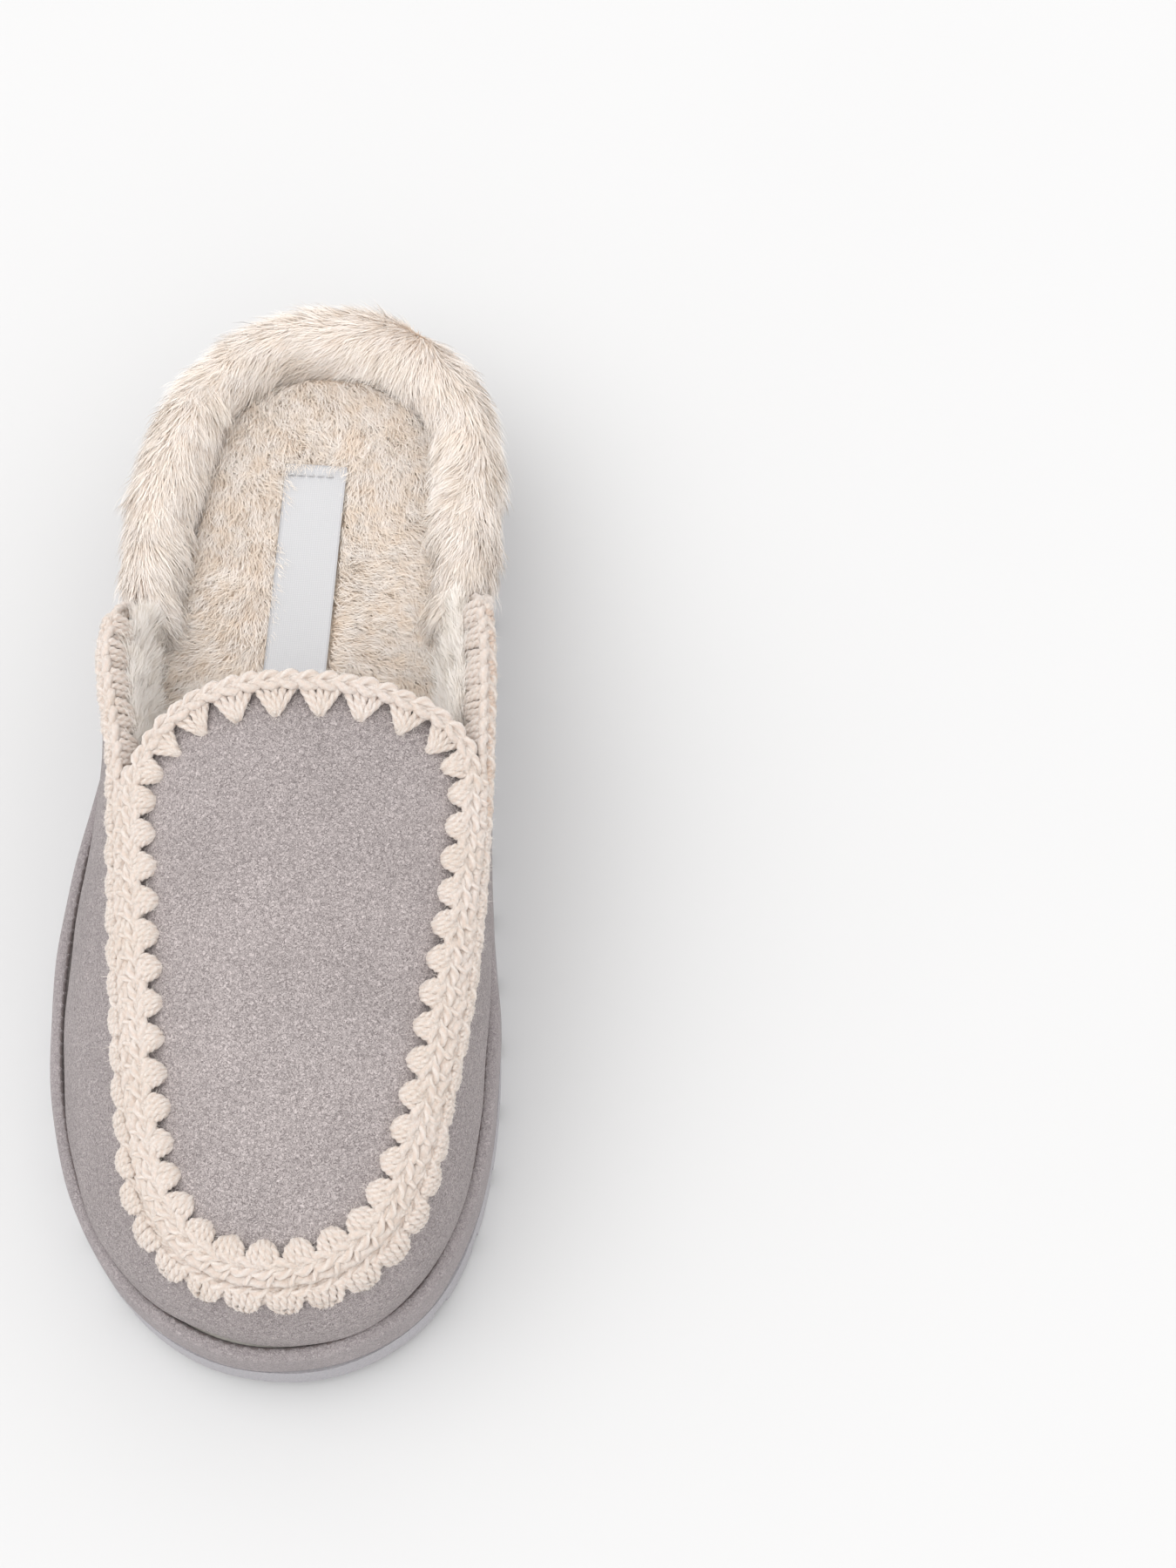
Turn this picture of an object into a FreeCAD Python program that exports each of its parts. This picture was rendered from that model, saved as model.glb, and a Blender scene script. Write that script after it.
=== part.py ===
"""A backless house slipper for the right foot: a wrapped platform sole, a moccasin upper edged with
crochet, and a fur footbed and heel collar. Millimetres; +Z is up, the toe points to -Y and the big toe's
side is +X. The origin is on the floor, under the middle of the sole."""

import FreeCAD, Part

import math
import os

from FreeCAD import Placement, Rotation, Vector

SIZES = {  # alias: (value, what it is)
    "sole_length": (252, "whole length of the platform"),
    "sole_width": (102, "whole width of the platform, at the ball"),
    "ball_height": (24, "floor to the platform's upper edge, at the ball"),
    "heel_height": (30, "floor to the platform's upper edge, at the heel"),
    "toe_spring": (4.5, "how far the sole lifts at the toe"),
    "outsole_thick": (9, "rubber outsole, edge to edge"),
    "tread_depth": (2.5, "depth of the grooves in the tread"),
    "groove_width": (4, "width of one tread groove"),
    "groove_pitch": (15.5, "from one tread groove to the next"),
    "groove_count": (15, "number of tread grooves"),
    "cover_thick": (1.2, "suede that wraps the platform"),
    "seam_inset": (3.4, "platform's edge to the seam with the upper"),
    "board_thick": (1.5, "fibre insole board"),
    "cushion_thick": (4, "foam under the footbed"),
    "sock_thick": (3, "fur footbed, backing and flattened pile"),
    "suede_thick": (1.4, "suede of the upper"),
    "lining_gap": (1.1, "room between the suede and the fur lining"),
    "lining_thick": (3.2, "fur lining of the upper"),
    "apron_height": (73, "floor to the apron's crown, above the instep"),
    "yarn_radius": (1.6, "one row of crochet chain"),
    "shell_count": (42, "crochet shells round the apron"),
    "wall_shell_pitch": (8, "from one crochet shell to the next along the wall"),
    "shell_depth": (5.5, "how far a shell reaches over the suede"),
    "collar_width": (16.2, "width of the fur roll at the heel"),
    "collar_height": (19, "height of the fur roll at the heel"),
    "collar_skin": (3, "fur and backing round the collar's foam"),
    "label_width": (14.5, "woven label"),
    "label_length": (72, "woven label"),
    "label_thick": (0.5, "woven label"),
}

# The sole's outline, as shares of half its width and half its length, from the toe round the big toe's side.
SOLE = (
    (0.10, -1.0), (0.42, -0.972), (0.72, -0.88), (0.93, -0.69), (1.0, -0.42), (0.95, -0.12),
    (0.90, 0.18), (0.92, 0.48), (0.89, 0.72), (0.73, 0.89), (0.43, 0.978), (0.10, 1.0),
    (-0.22, 0.965), (-0.50, 0.86), (-0.68, 0.68), (-0.755, 0.40), (-0.82, 0.14), (-0.95, -0.11),
    (-1.0, -0.36), (-0.955, -0.57), (-0.80, -0.76), (-0.53, -0.905), (-0.20, -0.983),
)
# The footbed inside the upper and the collar, from the toe round the big toe's side.
FOOTBED = (
    (5, -114), (21, -110), (33, -97), (38.5, -75), (40, -50), (39.5, -25), (37.8, 0), (36.8, 20),
    (37, 40), (36, 58), (35, 78), (31, 96), (21, 106.5), (6, 110), (-5, 107.5), (-13, 101),
    (-18.5, 88), (-22, 70), (-27, 52), (-31, 34), (-33, 12), (-36, -12), (-38.5, -35),
    (-38.5, -60), (-34, -84), (-24, -101), (-10, -111),
)
# The line between the apron's chain and the wall's chain, closed across the throat.
APRON = (
    (7, 15.5), (-4, 15), (-15, 12.5), (-24, 6.5), (-30, -3), (-31, -15), (-29.5, -35),
    (-27.5, -58), (-25.5, -78), (-22, -95), (-14, -107), (-3, -112.5), (9, -113), (20, -109.5),
    (29, -101.5), (34.5, -89), (38, -75), (42, -52), (45, -30), (46.8, -8), (46, 1), (41, 8),
    (31, 12.5), (19, 15),
)
# Height of the apron's crown above the floor along the foot, as (y, share of apron_height).
CROWN = ((-118, 0.63), (-108, 0.70), (-90, 0.78), (-45, 0.91), (0, 1.0), (20, 1.025))
CROWN_X, CROWN_DROP = 7.0, 0.0068  # the crown's line, and how fast the apron falls away from it
# The upper's wall, from its outer wing round the toe to its inner wing: (foot x, y), (top x, y), top z.
# A height of None follows the apron.
WALL = (
    ((-35.5, 50), (-38.0, 38), 56), ((-36.5, 36), (-38.8, 28), 59.5), ((-37.5, 20), (-37.3, 16), 61),
    ((-40, 3), (-34.8, 3), 61.5), ((-43.8, -14), (-33.8, -12), None), ((-47, -38), (-32.4, -35), None),
    ((-46.8, -62), (-30.6, -58), None), ((-43.0, -83), (-28.6, -78), None), ((-35, -101), (-24.6, -97), None),
    ((-22, -114), (-16, -109.5), None), ((-7, -121), (-3.5, -115.5), None), ((8, -122.5), (9.5, -116), None),
    ((23, -118.5), (21.8, -112.2), None), ((36, -107), (31.6, -103.2), None), ((43.8, -90), (37.5, -90), None),
    ((46.9, -70), (41, -74), None), ((47.6, -50), (45, -52), None), ((46.6, -28), (47.2, -30), None),
    ((44.2, -6), (48.2, -8), None), ((42.8, 10), (48.4, 8), 61.5), ((42.5, 24), (48.5, 20), 61),
    ((43, 38), (48, 32), 59.5), ((43.8, 52), (46.8, 42), 56),
)
WALL_BULGE = 2.6  # how far the wall swells at half its height
TOE_PUFF = (8, 15)  # the wall stations that the toe stiffener spans
# The fur roll round the heel, from the outer wing to the inner one: (x, y, share of its full width).
COLLAR = (
    (-29.5, 43, 0.60), (-31.8, 56, 0.86), (-30, 74, 1.0), (-26.3, 90, 1.0), (-20.6, 103, 1.0),
    (-12, 112, 1.0), (-2, 116.8, 1.0), (8, 117.8, 1.0), (19, 116.8, 1.0), (30, 111, 1.0), (38, 101, 1.0),
    (41.2, 88, 1.0), (41.8, 74, 1.0), (41, 57, 0.86), (38, 43, 0.60),
)

doc = FreeCAD.newDocument("house_slipper")
kept = {}


def fill_sheet():
    """The driving dimensions, one aliased cell each."""
    sheet = doc.addObject("Spreadsheet::Sheet", "sizes")
    for row, (alias, (value, words)) in enumerate(SIZES.items(), start=1):
        sheet.set(f"A{row}", words)
        sheet.set(f"B{row}", str(value))
        sheet.setAlias(f"B{row}", alias)
    doc.recompute()
    return sheet


sheet = fill_sheet()


def size(alias):
    return float(sheet.get(alias))


def keep(node, thing):
    """Marks a document object as a sub-part, or makes one from a shape."""
    if isinstance(thing, Part.Shape):
        shape, thing = thing, doc.addObject("Part::Feature", node)
        thing.Shape = shape
    thing.Label = node
    kept[node] = thing
    return thing


# ---- curves and heights -------------------------------------------------------------------------------


def closed_curve(points):
    curve = Part.BSplineCurve()
    curve.interpolate(Points=[Vector(*p) for p in points], PeriodicFlag=True)
    return curve


def open_curve(points):
    curve = Part.BSplineCurve()
    curve.interpolate([Vector(*p) for p in points])
    return curve


def sole_curve():
    half_x, half_y = size("sole_width") / 2, size("sole_length") / 2
    return closed_curve([(x * half_x, y * half_y, 0) for x, y in SOLE])


def inset_curve(curve, inset, count=48):
    """A closed curve in plan, which runs anticlockwise, moved inwards by inset."""
    length = curve.length()
    points = []
    for i in range(count):
        u = curve.parameterAtDistance(length * i / count, curve.FirstParameter)
        along = curve.tangent(u)[0]
        inward = Vector(-along.y, along.x, 0)
        inward.normalize()
        points.append(curve.value(u) + inward * inset)
    return closed_curve(points)


def prism(curve, low=-10.0, high=120.0):
    """A solid with a closed plan outline."""
    face = Part.Face(Part.Wire([curve.toShape()]))
    face.translate(Vector(0, 0, low))
    return face.extrude(Vector(0, 0, high - low))


def upper_edge():
    """The platform's upper edge in side view, as a curve of (y, z)."""
    half = size("sole_length") / 2
    ball, heel = size("ball_height"), size("heel_height")
    spring = 0.35 * size("toe_spring")
    return open_curve([
        (0, -half - 4, ball + spring), (0, -0.7 * half, ball), (0, -0.4 * half, ball),
        (0, 0.15 * half, ball + 0.55 * (heel - ball)), (0, 0.6 * half, heel - 0.4), (0, half + 4, heel),
    ])


def edge_height(y):
    """Height of the platform's upper edge at y."""
    curve = upper_edge()
    low, high = curve.FirstParameter, curve.LastParameter
    for _ in range(40):
        middle = (low + high) / 2
        if curve.value(middle).y < y:
            low = middle
        else:
            high = middle
    return curve.value(low).z


crown_line = open_curve([(0, y, share * size("apron_height")) for y, share in CROWN])


def dome(x, y):
    """Height of the apron's face."""
    low, high = crown_line.FirstParameter, crown_line.LastParameter
    for _ in range(40):
        middle = (low + high) / 2
        if crown_line.value(middle).y < y:
            low = middle
        else:
            high = middle
    return crown_line.value(low).z - CROWN_DROP * (x - CROWN_X) ** 2


# ---- sole ---------------------------------------------------------------------------------------------


def plane_of(body, role):
    return next(f for f in body.Origin.OriginFeatures if f.Role == role)


def outline_body(name, curve, height_cell):
    """A padded plan outline, as tall as a cell says."""
    body = doc.addObject("PartDesign::Body", name)
    sketch = body.newObject("Sketcher::SketchObject", name + "_outline")
    sketch.AttachmentSupport = [(plane_of(body, "XY_Plane"), "")]
    sketch.MapMode = "FlatFace"
    sketch.addGeometry(curve, False)
    pad = body.newObject("PartDesign::Pad", name + "_pad")
    pad.Profile = sketch
    pad.setExpression("Length", height_cell)
    body.Tip = pad
    doc.recompute()
    return body


def side_profile(name, edges):
    """A slab right across the sole, whose side view is the closed loop of edges in the plane of y and z."""
    face = Part.Face(Part.Wire(edges))
    across = size("sole_width")
    face.translate(Vector(-across, 0, 0))
    slab = doc.addObject("Part::Feature", name)
    slab.Shape = face.extrude(Vector(2 * across, 0, 0))
    return slab


def sole_underside(lift):
    """Edges of the sole's underside in side view, raised by lift: a toe arc, a flat and a heel arc."""
    half, spring = size("sole_length") / 2, size("toe_spring")
    toe_flat, heel_flat, heel_lift = -0.58 * half, 0.88 * half, 1.6
    reach = 3.0

    def arc(y_flat, y_end, rise):
        run = y_end - y_flat
        radius = (run * run + rise * rise) / (2 * rise)
        angle = math.asin(abs(run) / radius) / 2
        middle = Vector(0, y_flat + math.copysign(radius * math.sin(angle), run),
                        radius * (1 - math.cos(angle)) + lift)
        return Part.Arc(Vector(0, y_flat, lift), middle, Vector(0, y_end, rise + lift)).toShape()

    toe, heel = arc(toe_flat, -half - reach, spring), arc(heel_flat, half + reach, heel_lift)
    flat = Part.LineSegment(Vector(0, toe_flat, lift), Vector(0, heel_flat, lift)).toShape()
    return toe, flat, heel, Vector(0, -half - reach, spring + lift), Vector(0, half + reach, heel_lift + lift)


def upper_span(lift):
    """The platform's upper edge in side view, raised by lift, with its two ends."""
    edge = upper_edge().toShape()
    edge.translate(Vector(0, 0, lift))
    ends = sorted((v.Point for v in edge.Vertexes), key=lambda p: p.y)
    return edge, ends[0], ends[1]


def line(a, b):
    return Part.LineSegment(a, b).toShape()


def band_between_uppers(name, low, high):
    """A slab between two copies of the upper edge."""
    bottom, b_toe, b_heel = upper_span(low)
    top, t_toe, t_heel = upper_span(high)
    return side_profile(name, [bottom, line(b_heel, t_heel), top, line(t_toe, b_toe)])


def boolean(kind, name, base, tool):
    made = doc.addObject("Part::" + kind, name)
    made.Base, made.Tool = base, tool
    return made


def make_outsole(outline):
    """The rubber outsole: its edge, the toe's lift, and grooves that run right across the tread."""
    body = outline_body("outsole_blank", outline, "sizes.outsole_thick + sizes.toe_spring")
    toe, flat, heel, low_toe, low_heel = sole_underside(0)
    lid = sole_underside(size("outsole_thick"))
    slab = side_profile("outsole_side", [toe, flat, heel, line(low_heel, lid[4]), lid[2], lid[1], lid[0],
                                         line(lid[3], low_toe)])
    blank = boolean("Common", "outsole_plain", body, slab)
    first = doc.addObject("Part::Box", "first_groove")
    first.setExpression("Length", "sizes.sole_width * 1.2")
    first.setExpression("Width", "sizes.groove_width")
    first.setExpression("Height", "sizes.tread_depth + sizes.toe_spring")
    first.setExpression("Placement.Base.x", "-sizes.sole_width * 0.6")
    first.setExpression("Placement.Base.y", "-sizes.groove_pitch * (sizes.groove_count - 1) / 2"
                                            " - sizes.groove_width / 2")
    first.setExpression("Placement.Base.z", "-sizes.toe_spring")
    doc.recompute()
    grooves = []
    for i in range(int(size("groove_count"))):
        groove = first.Shape.copy()
        y = groove.BoundBox.Center.y + i * size("groove_pitch")
        lift = underside_height(y)
        groove.translate(Vector(0, i * size("groove_pitch"), lift))
        grooves.append(groove)
    cutters = doc.addObject("Part::Feature", "grooves")
    cutters.Shape = Part.makeCompound(grooves)
    keep("outsole", boolean("Cut", "outsole", blank, cutters))


def underside_height(y):
    """Height of the sole's underside at y."""
    half, spring = size("sole_length") / 2, size("toe_spring")
    start = -0.58 * half
    if y > start:
        return 0.0
    return spring * ((start - y) / (half + start)) ** 2


def make_platform(outline):
    """The foam platform and the suede that wraps its edge, between the outsole and the seam."""
    cover = size("cover_thick")
    lid = sole_underside(size("outsole_thick"))
    slabs = []
    for name, lift in (("platform_side", 0.0), ("core_side", -cover)):
        top, t_toe, t_heel = upper_span(lift)
        loop = [lid[0], lid[1], lid[2], line(lid[4], t_heel), top, line(t_toe, lid[3])]
        slabs.append(side_profile(name, loop))
    whole = outline_body("platform_blank", outline, "sizes.heel_height + 10")
    core = outline_body("core_blank", inset_curve(outline, cover), "sizes.heel_height + 10")
    foam = boolean("Common", "midsole_foam", core, slabs[1])
    keep("midsole_foam", foam)
    full = boolean("Common", "platform_whole", whole, slabs[0])
    keep("platform_cover", boolean("Cut", "platform_cover", full, foam))


def make_insole(outline):
    """The board, foam and fur that the foot stands on."""
    board, cushion, sock = size("board_thick"), size("cushion_thick"), size("sock_thick")
    footbed = closed_curve([(x, y, 0) for x, y in FOOTBED])
    layers = (
        ("insole_board", inset_curve(outline, size("seam_inset") + size("suede_thick") + 0.3), 0.0, board),
        ("cushion_foam", footbed, board, board + cushion),
        ("footbed_fur", footbed, board + cushion, board + cushion + sock),
    )
    for node, curve, low, high in layers:
        body = outline_body(node + "_blank", curve, "sizes.heel_height + 20")
        slab = band_between_uppers(node + "_side", low, high)
        keep(node, boolean("Common", node, body, slab))


def make_label():
    """The woven label on the footbed, and the thread that holds its heel end."""
    wide, long_, thick = size("label_width"), size("label_length"), size("label_thick")
    stack = size("board_thick") + size("cushion_thick") + size("sock_thick")
    heel_y, toe_y, x = 86.0, 14.0, 5.0
    rise = edge_height(heel_y) - edge_height(toe_y)
    pitch = math.degrees(math.atan2(rise, long_))
    label = doc.addObject("Part::Box", "label")
    label.setExpression("Length", "sizes.label_width")
    label.setExpression("Width", "sizes.label_length")
    label.setExpression("Height", "sizes.label_thick")
    turn = Rotation(Vector(0, 0, 1), -3.5).multiply(Rotation(Vector(1, 0, 0), pitch))
    start = Vector(x - wide / 2 - 3.0, toe_y, edge_height(toe_y) + stack + 0.8)
    label.Placement = Placement(start, turn)
    keep("label", label)
    stitches = []
    for i in range(6):
        stitch = Part.makeCylinder(0.22, 1.5, Vector(1.0 + 2.3 * i, long_ - 2.0, thick + 0.2), Vector(1, 0, 0))
        stitches.append(stitch)
    thread = Part.makeCompound(stitches)
    thread.Placement = label.Placement
    keep("label_stitches", thread)


# ---- upper --------------------------------------------------------------------------------------------


def wall_frames():
    """For each wall station: its foot, its top and the level direction into the slipper."""
    frames = []
    for (fx, fy), (tx, ty), z in WALL:
        foot = Vector(fx, fy, edge_height(fy))
        top = Vector(tx, ty, dome(tx, ty) - 0.5 if z is None else z)
        frames.append([foot, top])
    for i, frame in enumerate(frames):
        before, after = frames[max(i - 1, 0)], frames[min(i + 1, len(frames) - 1)]
        along = (after[0] + after[1]) - (before[0] + before[1])
        inward = Vector(-along.y, along.x, 0)
        inward.normalize()
        frame.append(inward)
    return frames


def wall_shell(first, last, near, far, foot_gap, top_gap):
    """A wall layer from near to far inside the suede's face, between two stations."""
    sections = []
    for foot, top, inward in wall_frames()[first:last + 1]:
        rise = top - foot
        low, high = foot + rise * (foot_gap / rise.Length), top - rise * (top_gap / rise.Length)
        swell = inward * -WALL_BULGE
        middle = (low + high) * 0.5 + swell
        ring = [low + inward * near, middle + inward * near, high + inward * near,
                high + inward * far, middle + inward * far, low + inward * far]
        sections.append(Part.makePolygon([*ring, ring[0]]))
    return Part.makeLoft(sections, True, False)


def make_wall():
    """The upper's wall, its fur lining, and the stiffener between them at the toe."""
    suede, gap, lining = size("suede_thick"), size("lining_gap"), size("lining_thick")
    last = len(WALL) - 1
    wall = wall_shell(0, last, 0.0, suede, 0.3, 0.0)
    keep("vamp_wall", wall)
    inside = suede + gap
    keep("vamp_wall_lining", wall_shell(0, last, inside, inside + lining, 2.5, 2.0))
    keep("toe_puff", wall_shell(*TOE_PUFF, suede + 0.15, suede + 0.95, 3.0, 4.0))
    return wall


def apron_face(lift, outline):
    """The apron's domed face, raised by lift and trimmed to a plan outline."""
    ys = (-122, -108, -90, -66, -42, -18, 4, 24)
    xs = (-48, -30, -12, 7, 26, 44, 62)
    grid = [[Vector(x, y, dome(x, min(max(y, -118), 20)) + lift) for x in xs] for y in ys]
    surface = Part.BSplineSurface()
    surface.interpolate(grid)
    trimmed = surface.toShape().common(prism(outline))
    return trimmed.Faces[0]


def make_apron(outline):
    """The apron over the instep, and its fur lining."""
    suede, lining, gap = size("suede_thick"), size("lining_thick"), size("lining_gap")
    top = apron_face(0.0, inset_curve(outline, size("yarn_radius") + 0.2))
    keep("apron", top.extrude(Vector(0, 0, -suede)))
    under = apron_face(-suede - gap, inset_curve(outline, size("yarn_radius") + 4.0))
    keep("apron_lining", under.extrude(Vector(0, 0, -lining)))


# ---- crochet ------------------------------------------------------------------------------------------


def cord(curve, radius, start, end):
    """A round cord along a curve, from one parameter to another."""
    ring = Part.Wire([Part.makeCircle(radius, curve.value(start), curve.tangent(start)[0])])
    return Part.Wire([curve.toShape(start, end)]).makePipeShell([ring], True, False)


def closed_cord(curve, radius, count=32):
    """A round cord along a closed curve."""
    first, span = curve.FirstParameter, curve.LastParameter - curve.FirstParameter
    stations = [first + span * i / count for i in range(count)]
    rings = [Part.Wire([Part.makeCircle(radius, curve.value(u), curve.tangent(u)[0])]) for u in stations]
    return Part.makeLoft(rings, True, False, True)


def plate(origin, along, down, wide, narrow, depth, thick):
    """A flat tapered piece: wide at its origin and narrow a depth further down, lying on a slope."""
    along, down = Vector(along), Vector(down)
    along.normalize()
    down = down - along * along.dot(down)
    down.normalize()
    up = along.cross(down)
    corners = [origin - along * wide, origin + along * wide, origin + down * depth + along * narrow,
               origin + down * depth - along * narrow]
    if up.z < 0:
        up = up * -1
    return Part.Face(Part.makePolygon([*corners, corners[0]])).extrude(up * thick)


def make_apron_crochet(outline):
    """The chain round the apron's edge, and the shells that hold it to the suede."""
    r, depth = size("yarn_radius"), size("shell_depth")
    ring = inset_curve(outline, r + 0.1)
    length = ring.length()
    steps = 40
    path = []
    for i in range(steps):
        p = ring.value(ring.parameterAtDistance(length * i / steps, ring.FirstParameter))
        path.append((p.x, p.y, dome(p.x, p.y) + r + 0.3))
    keep("apron_chain", closed_cord(closed_curve(path), r))
    count = int(size("shell_count"))
    shells = []
    for i in range(count):
        u = ring.parameterAtDistance(length * (i + 0.5) / count, ring.FirstParameter)
        p, along = ring.value(u), ring.tangent(u)[0]
        inward = Vector(-along.y, along.x, 0)
        near, far = p + inward * (r + 0.3), p + inward * (r + 0.3 + depth)
        near.z, far.z = dome(near.x, near.y) + 0.35, dome(far.x, far.y) + 0.35
        shells.append(plate(near, along, far - near, 0.42 * length / count, 1.5, depth, 1.1))
    keep("apron_shells", Part.makeCompound(shells))


def make_wall_crochet():
    """The chain along the wall's top and down both wing ends, its shells, and the stitches between chains."""
    r, depth = size("yarn_radius"), size("shell_depth")
    frames = wall_frames()
    path = [top + inward * (0.4 * r) + Vector(0, 0, r) for _, top, inward in frames]
    ends = []
    behind = Vector(0, r + 0.2, 0)
    for foot, top, _ in (frames[0], frames[-1]):
        ends.append([foot + behind + Vector(0, 0, r + 1.0), (foot + top) * 0.5 + behind, top + behind * 1.6])
    points = [*ends[0], *path[1:-1], *reversed(ends[1])]
    line_of_chain = open_curve([(p.x, p.y, p.z) for p in points])
    keep("wall_chain", cord(line_of_chain, r, line_of_chain.FirstParameter, line_of_chain.LastParameter))
    tops = open_curve([(top.x, top.y, top.z) for _, top, _ in frames])
    feet = open_curve([(foot.x, foot.y, foot.z) for foot, _, _ in frames])
    length = tops.length()
    count = int(length / size("wall_shell_pitch"))
    shells = []
    for i in range(count):
        share = (i + 0.5) / count
        u = tops.parameterAtDistance(length * share, tops.FirstParameter)
        p, along = tops.value(u), tops.tangent(u)[0]
        span = feet.LastParameter - feet.FirstParameter
        q = feet.value(feet.FirstParameter + span * (u - tops.FirstParameter)
                       / (tops.LastParameter - tops.FirstParameter))
        inward = Vector(-along.y, along.x, 0)
        inward.normalize()
        down = q - p - inward * (4 * WALL_BULGE)
        start = p - inward * 1.0 - Vector(0, 0, 0.6)
        shells.append(plate(start, along, down, 0.42 * length / count, 1.5, depth, 1.0))
    keep("wall_shells", Part.makeCompound(shells))


def make_joining_stitches(outline):
    """The yarn that laces the two chains together along the moccasin seam."""
    length = outline.length()
    r = size("yarn_radius")
    count = 44
    stitches = []
    for i in range(count):
        u = outline.parameterAtDistance(length * i / count, outline.FirstParameter)
        p, along = outline.value(u), outline.tangent(u)[0]
        if p.y > -6:
            continue
        inward = Vector(-along.y, along.x, 0)
        start = Vector(p.x, p.y, dome(p.x, p.y) + 2 * r + 1.1) - inward * 1.6
        stitches.append(Part.makeCylinder(0.8, 3.2, start, inward))
    keep("joining_stitches", Part.makeCompound(stitches))


def make_seam_thread(outline):
    """The stitches of the seam that joins upper, footbed and platform cover."""
    seam = inset_curve(outline, size("seam_inset") - 0.9)
    length = seam.length()
    count, stitch = 96, 4.6
    stitches = []
    for i in range(count):
        u = seam.parameterAtDistance(length * i / count, seam.FirstParameter)
        p, along = seam.value(u), seam.tangent(u)[0]
        p.z = edge_height(p.y) + 0.45
        stitches.append(Part.makeCylinder(0.4, stitch, p, along))
    keep("seam_stitches", Part.makeCompound(stitches))


# ---- collar -------------------------------------------------------------------------------------------


def collar_roll(stations, shrink):
    """The heel roll as a solid through some of its stations, shrunk all round by shrink."""
    wide, tall = size("collar_width") / 2, size("collar_height") / 2
    centre = open_curve([(x, y, 0) for x, y, _ in COLLAR])
    sections = []
    for x, y, share in stations:
        along = centre.tangent(centre.parameter(Vector(x, y, 0)))[0]
        across = Vector(along.y, -along.x, 0)
        half_w = max(wide * share - shrink, 1.0)
        half_h = max(tall * (0.5 + 0.5 * share) - shrink, 1.0)
        middle = Vector(x, y, edge_height(y) + 0.9 + tall * (0.5 + 0.5 * share))
        ring = Part.BSplineCurve()
        around = 10
        ring.interpolate(
            Points=[middle + across * (half_w * math.cos(2 * math.pi * k / around))
                    + Vector(0, 0, half_h * math.sin(2 * math.pi * k / around)) for k in range(around)],
            PeriodicFlag=True)
        sections.append(Part.Wire([ring.toShape()]))
    return Part.makeLoft(sections, True, False)


def make_collar(wall):
    """The fur roll round the heel and the foam inside it."""
    roll = collar_roll(COLLAR, 0.0)
    foam = collar_roll(COLLAR[1:-1], size("collar_skin"))
    fur = roll.cut(foam).cut(wall).cut(kept["vamp_wall_lining"].Shape)
    fur = fur.cut(kept["wall_chain"].Shape).cut(kept["footbed_fur"].Shape).cut(kept["cushion_foam"].Shape)
    keep("heel_collar", max(fur.Solids, key=lambda s: s.Volume))
    keep("collar_foam", foam)


def check_and_write():
    """Stops on a failed feature or a bad shape, and writes one STEP file per sub-part."""
    doc.recompute()
    for thing in doc.Objects:
        if any(word in thing.State for word in ("Invalid", "Error")):
            raise SystemExit(f"{thing.Label} failed: {thing.State}")
    os.makedirs("parts", exist_ok=True)
    for node, thing in kept.items():
        shape = thing.Shape
        if shape.isNull() or not shape.isValid() or not shape.Solids:
            raise SystemExit(f"{node} has a bad shape")
        box = shape.BoundBox
        print(f"{node:18s} solids {len(shape.Solids):3d}  volume {shape.Volume:10.1f}  "
              f"x {box.XMin:6.1f} {box.XMax:6.1f}  y {box.YMin:7.1f} {box.YMax:7.1f}  "
              f"z {box.ZMin:5.1f} {box.ZMax:5.1f}")
        shape.exportStep(f"parts/{node}.step")


def main():
    outline = sole_curve()
    apron_outline = closed_curve([(x, y, 0) for x, y in APRON])
    make_outsole(outline)
    make_platform(outline)
    make_insole(outline)
    make_label()
    wall = make_wall()
    make_apron(apron_outline)
    make_apron_crochet(apron_outline)
    make_wall_crochet()
    make_joining_stitches(apron_outline)
    make_seam_thread(outline)
    doc.recompute()
    make_collar(wall)
    check_and_write()


main()
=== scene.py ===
import math

import bpy
import numpy as np
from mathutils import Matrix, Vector


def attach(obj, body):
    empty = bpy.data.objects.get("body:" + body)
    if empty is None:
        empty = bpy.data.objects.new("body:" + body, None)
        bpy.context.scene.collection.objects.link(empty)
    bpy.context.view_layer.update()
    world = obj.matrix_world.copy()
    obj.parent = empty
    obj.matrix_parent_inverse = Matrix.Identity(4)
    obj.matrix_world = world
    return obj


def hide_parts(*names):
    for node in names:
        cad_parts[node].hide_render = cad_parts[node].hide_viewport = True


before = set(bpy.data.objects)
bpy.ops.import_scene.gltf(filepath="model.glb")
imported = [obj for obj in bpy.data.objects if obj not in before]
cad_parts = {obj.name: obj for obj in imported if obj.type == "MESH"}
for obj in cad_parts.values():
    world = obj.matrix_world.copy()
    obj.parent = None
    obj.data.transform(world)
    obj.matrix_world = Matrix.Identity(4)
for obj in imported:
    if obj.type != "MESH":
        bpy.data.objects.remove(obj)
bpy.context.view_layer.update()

# A backless house slipper: suede upper and platform, crochet edging, fur lining and heel roll.
# Shapes are worked out in millimetres in the part's own frame and built in metres. The toe points
# to -Y and the big toe's side is +X.

MM = 0.001
rng = np.random.default_rng(11)

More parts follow.
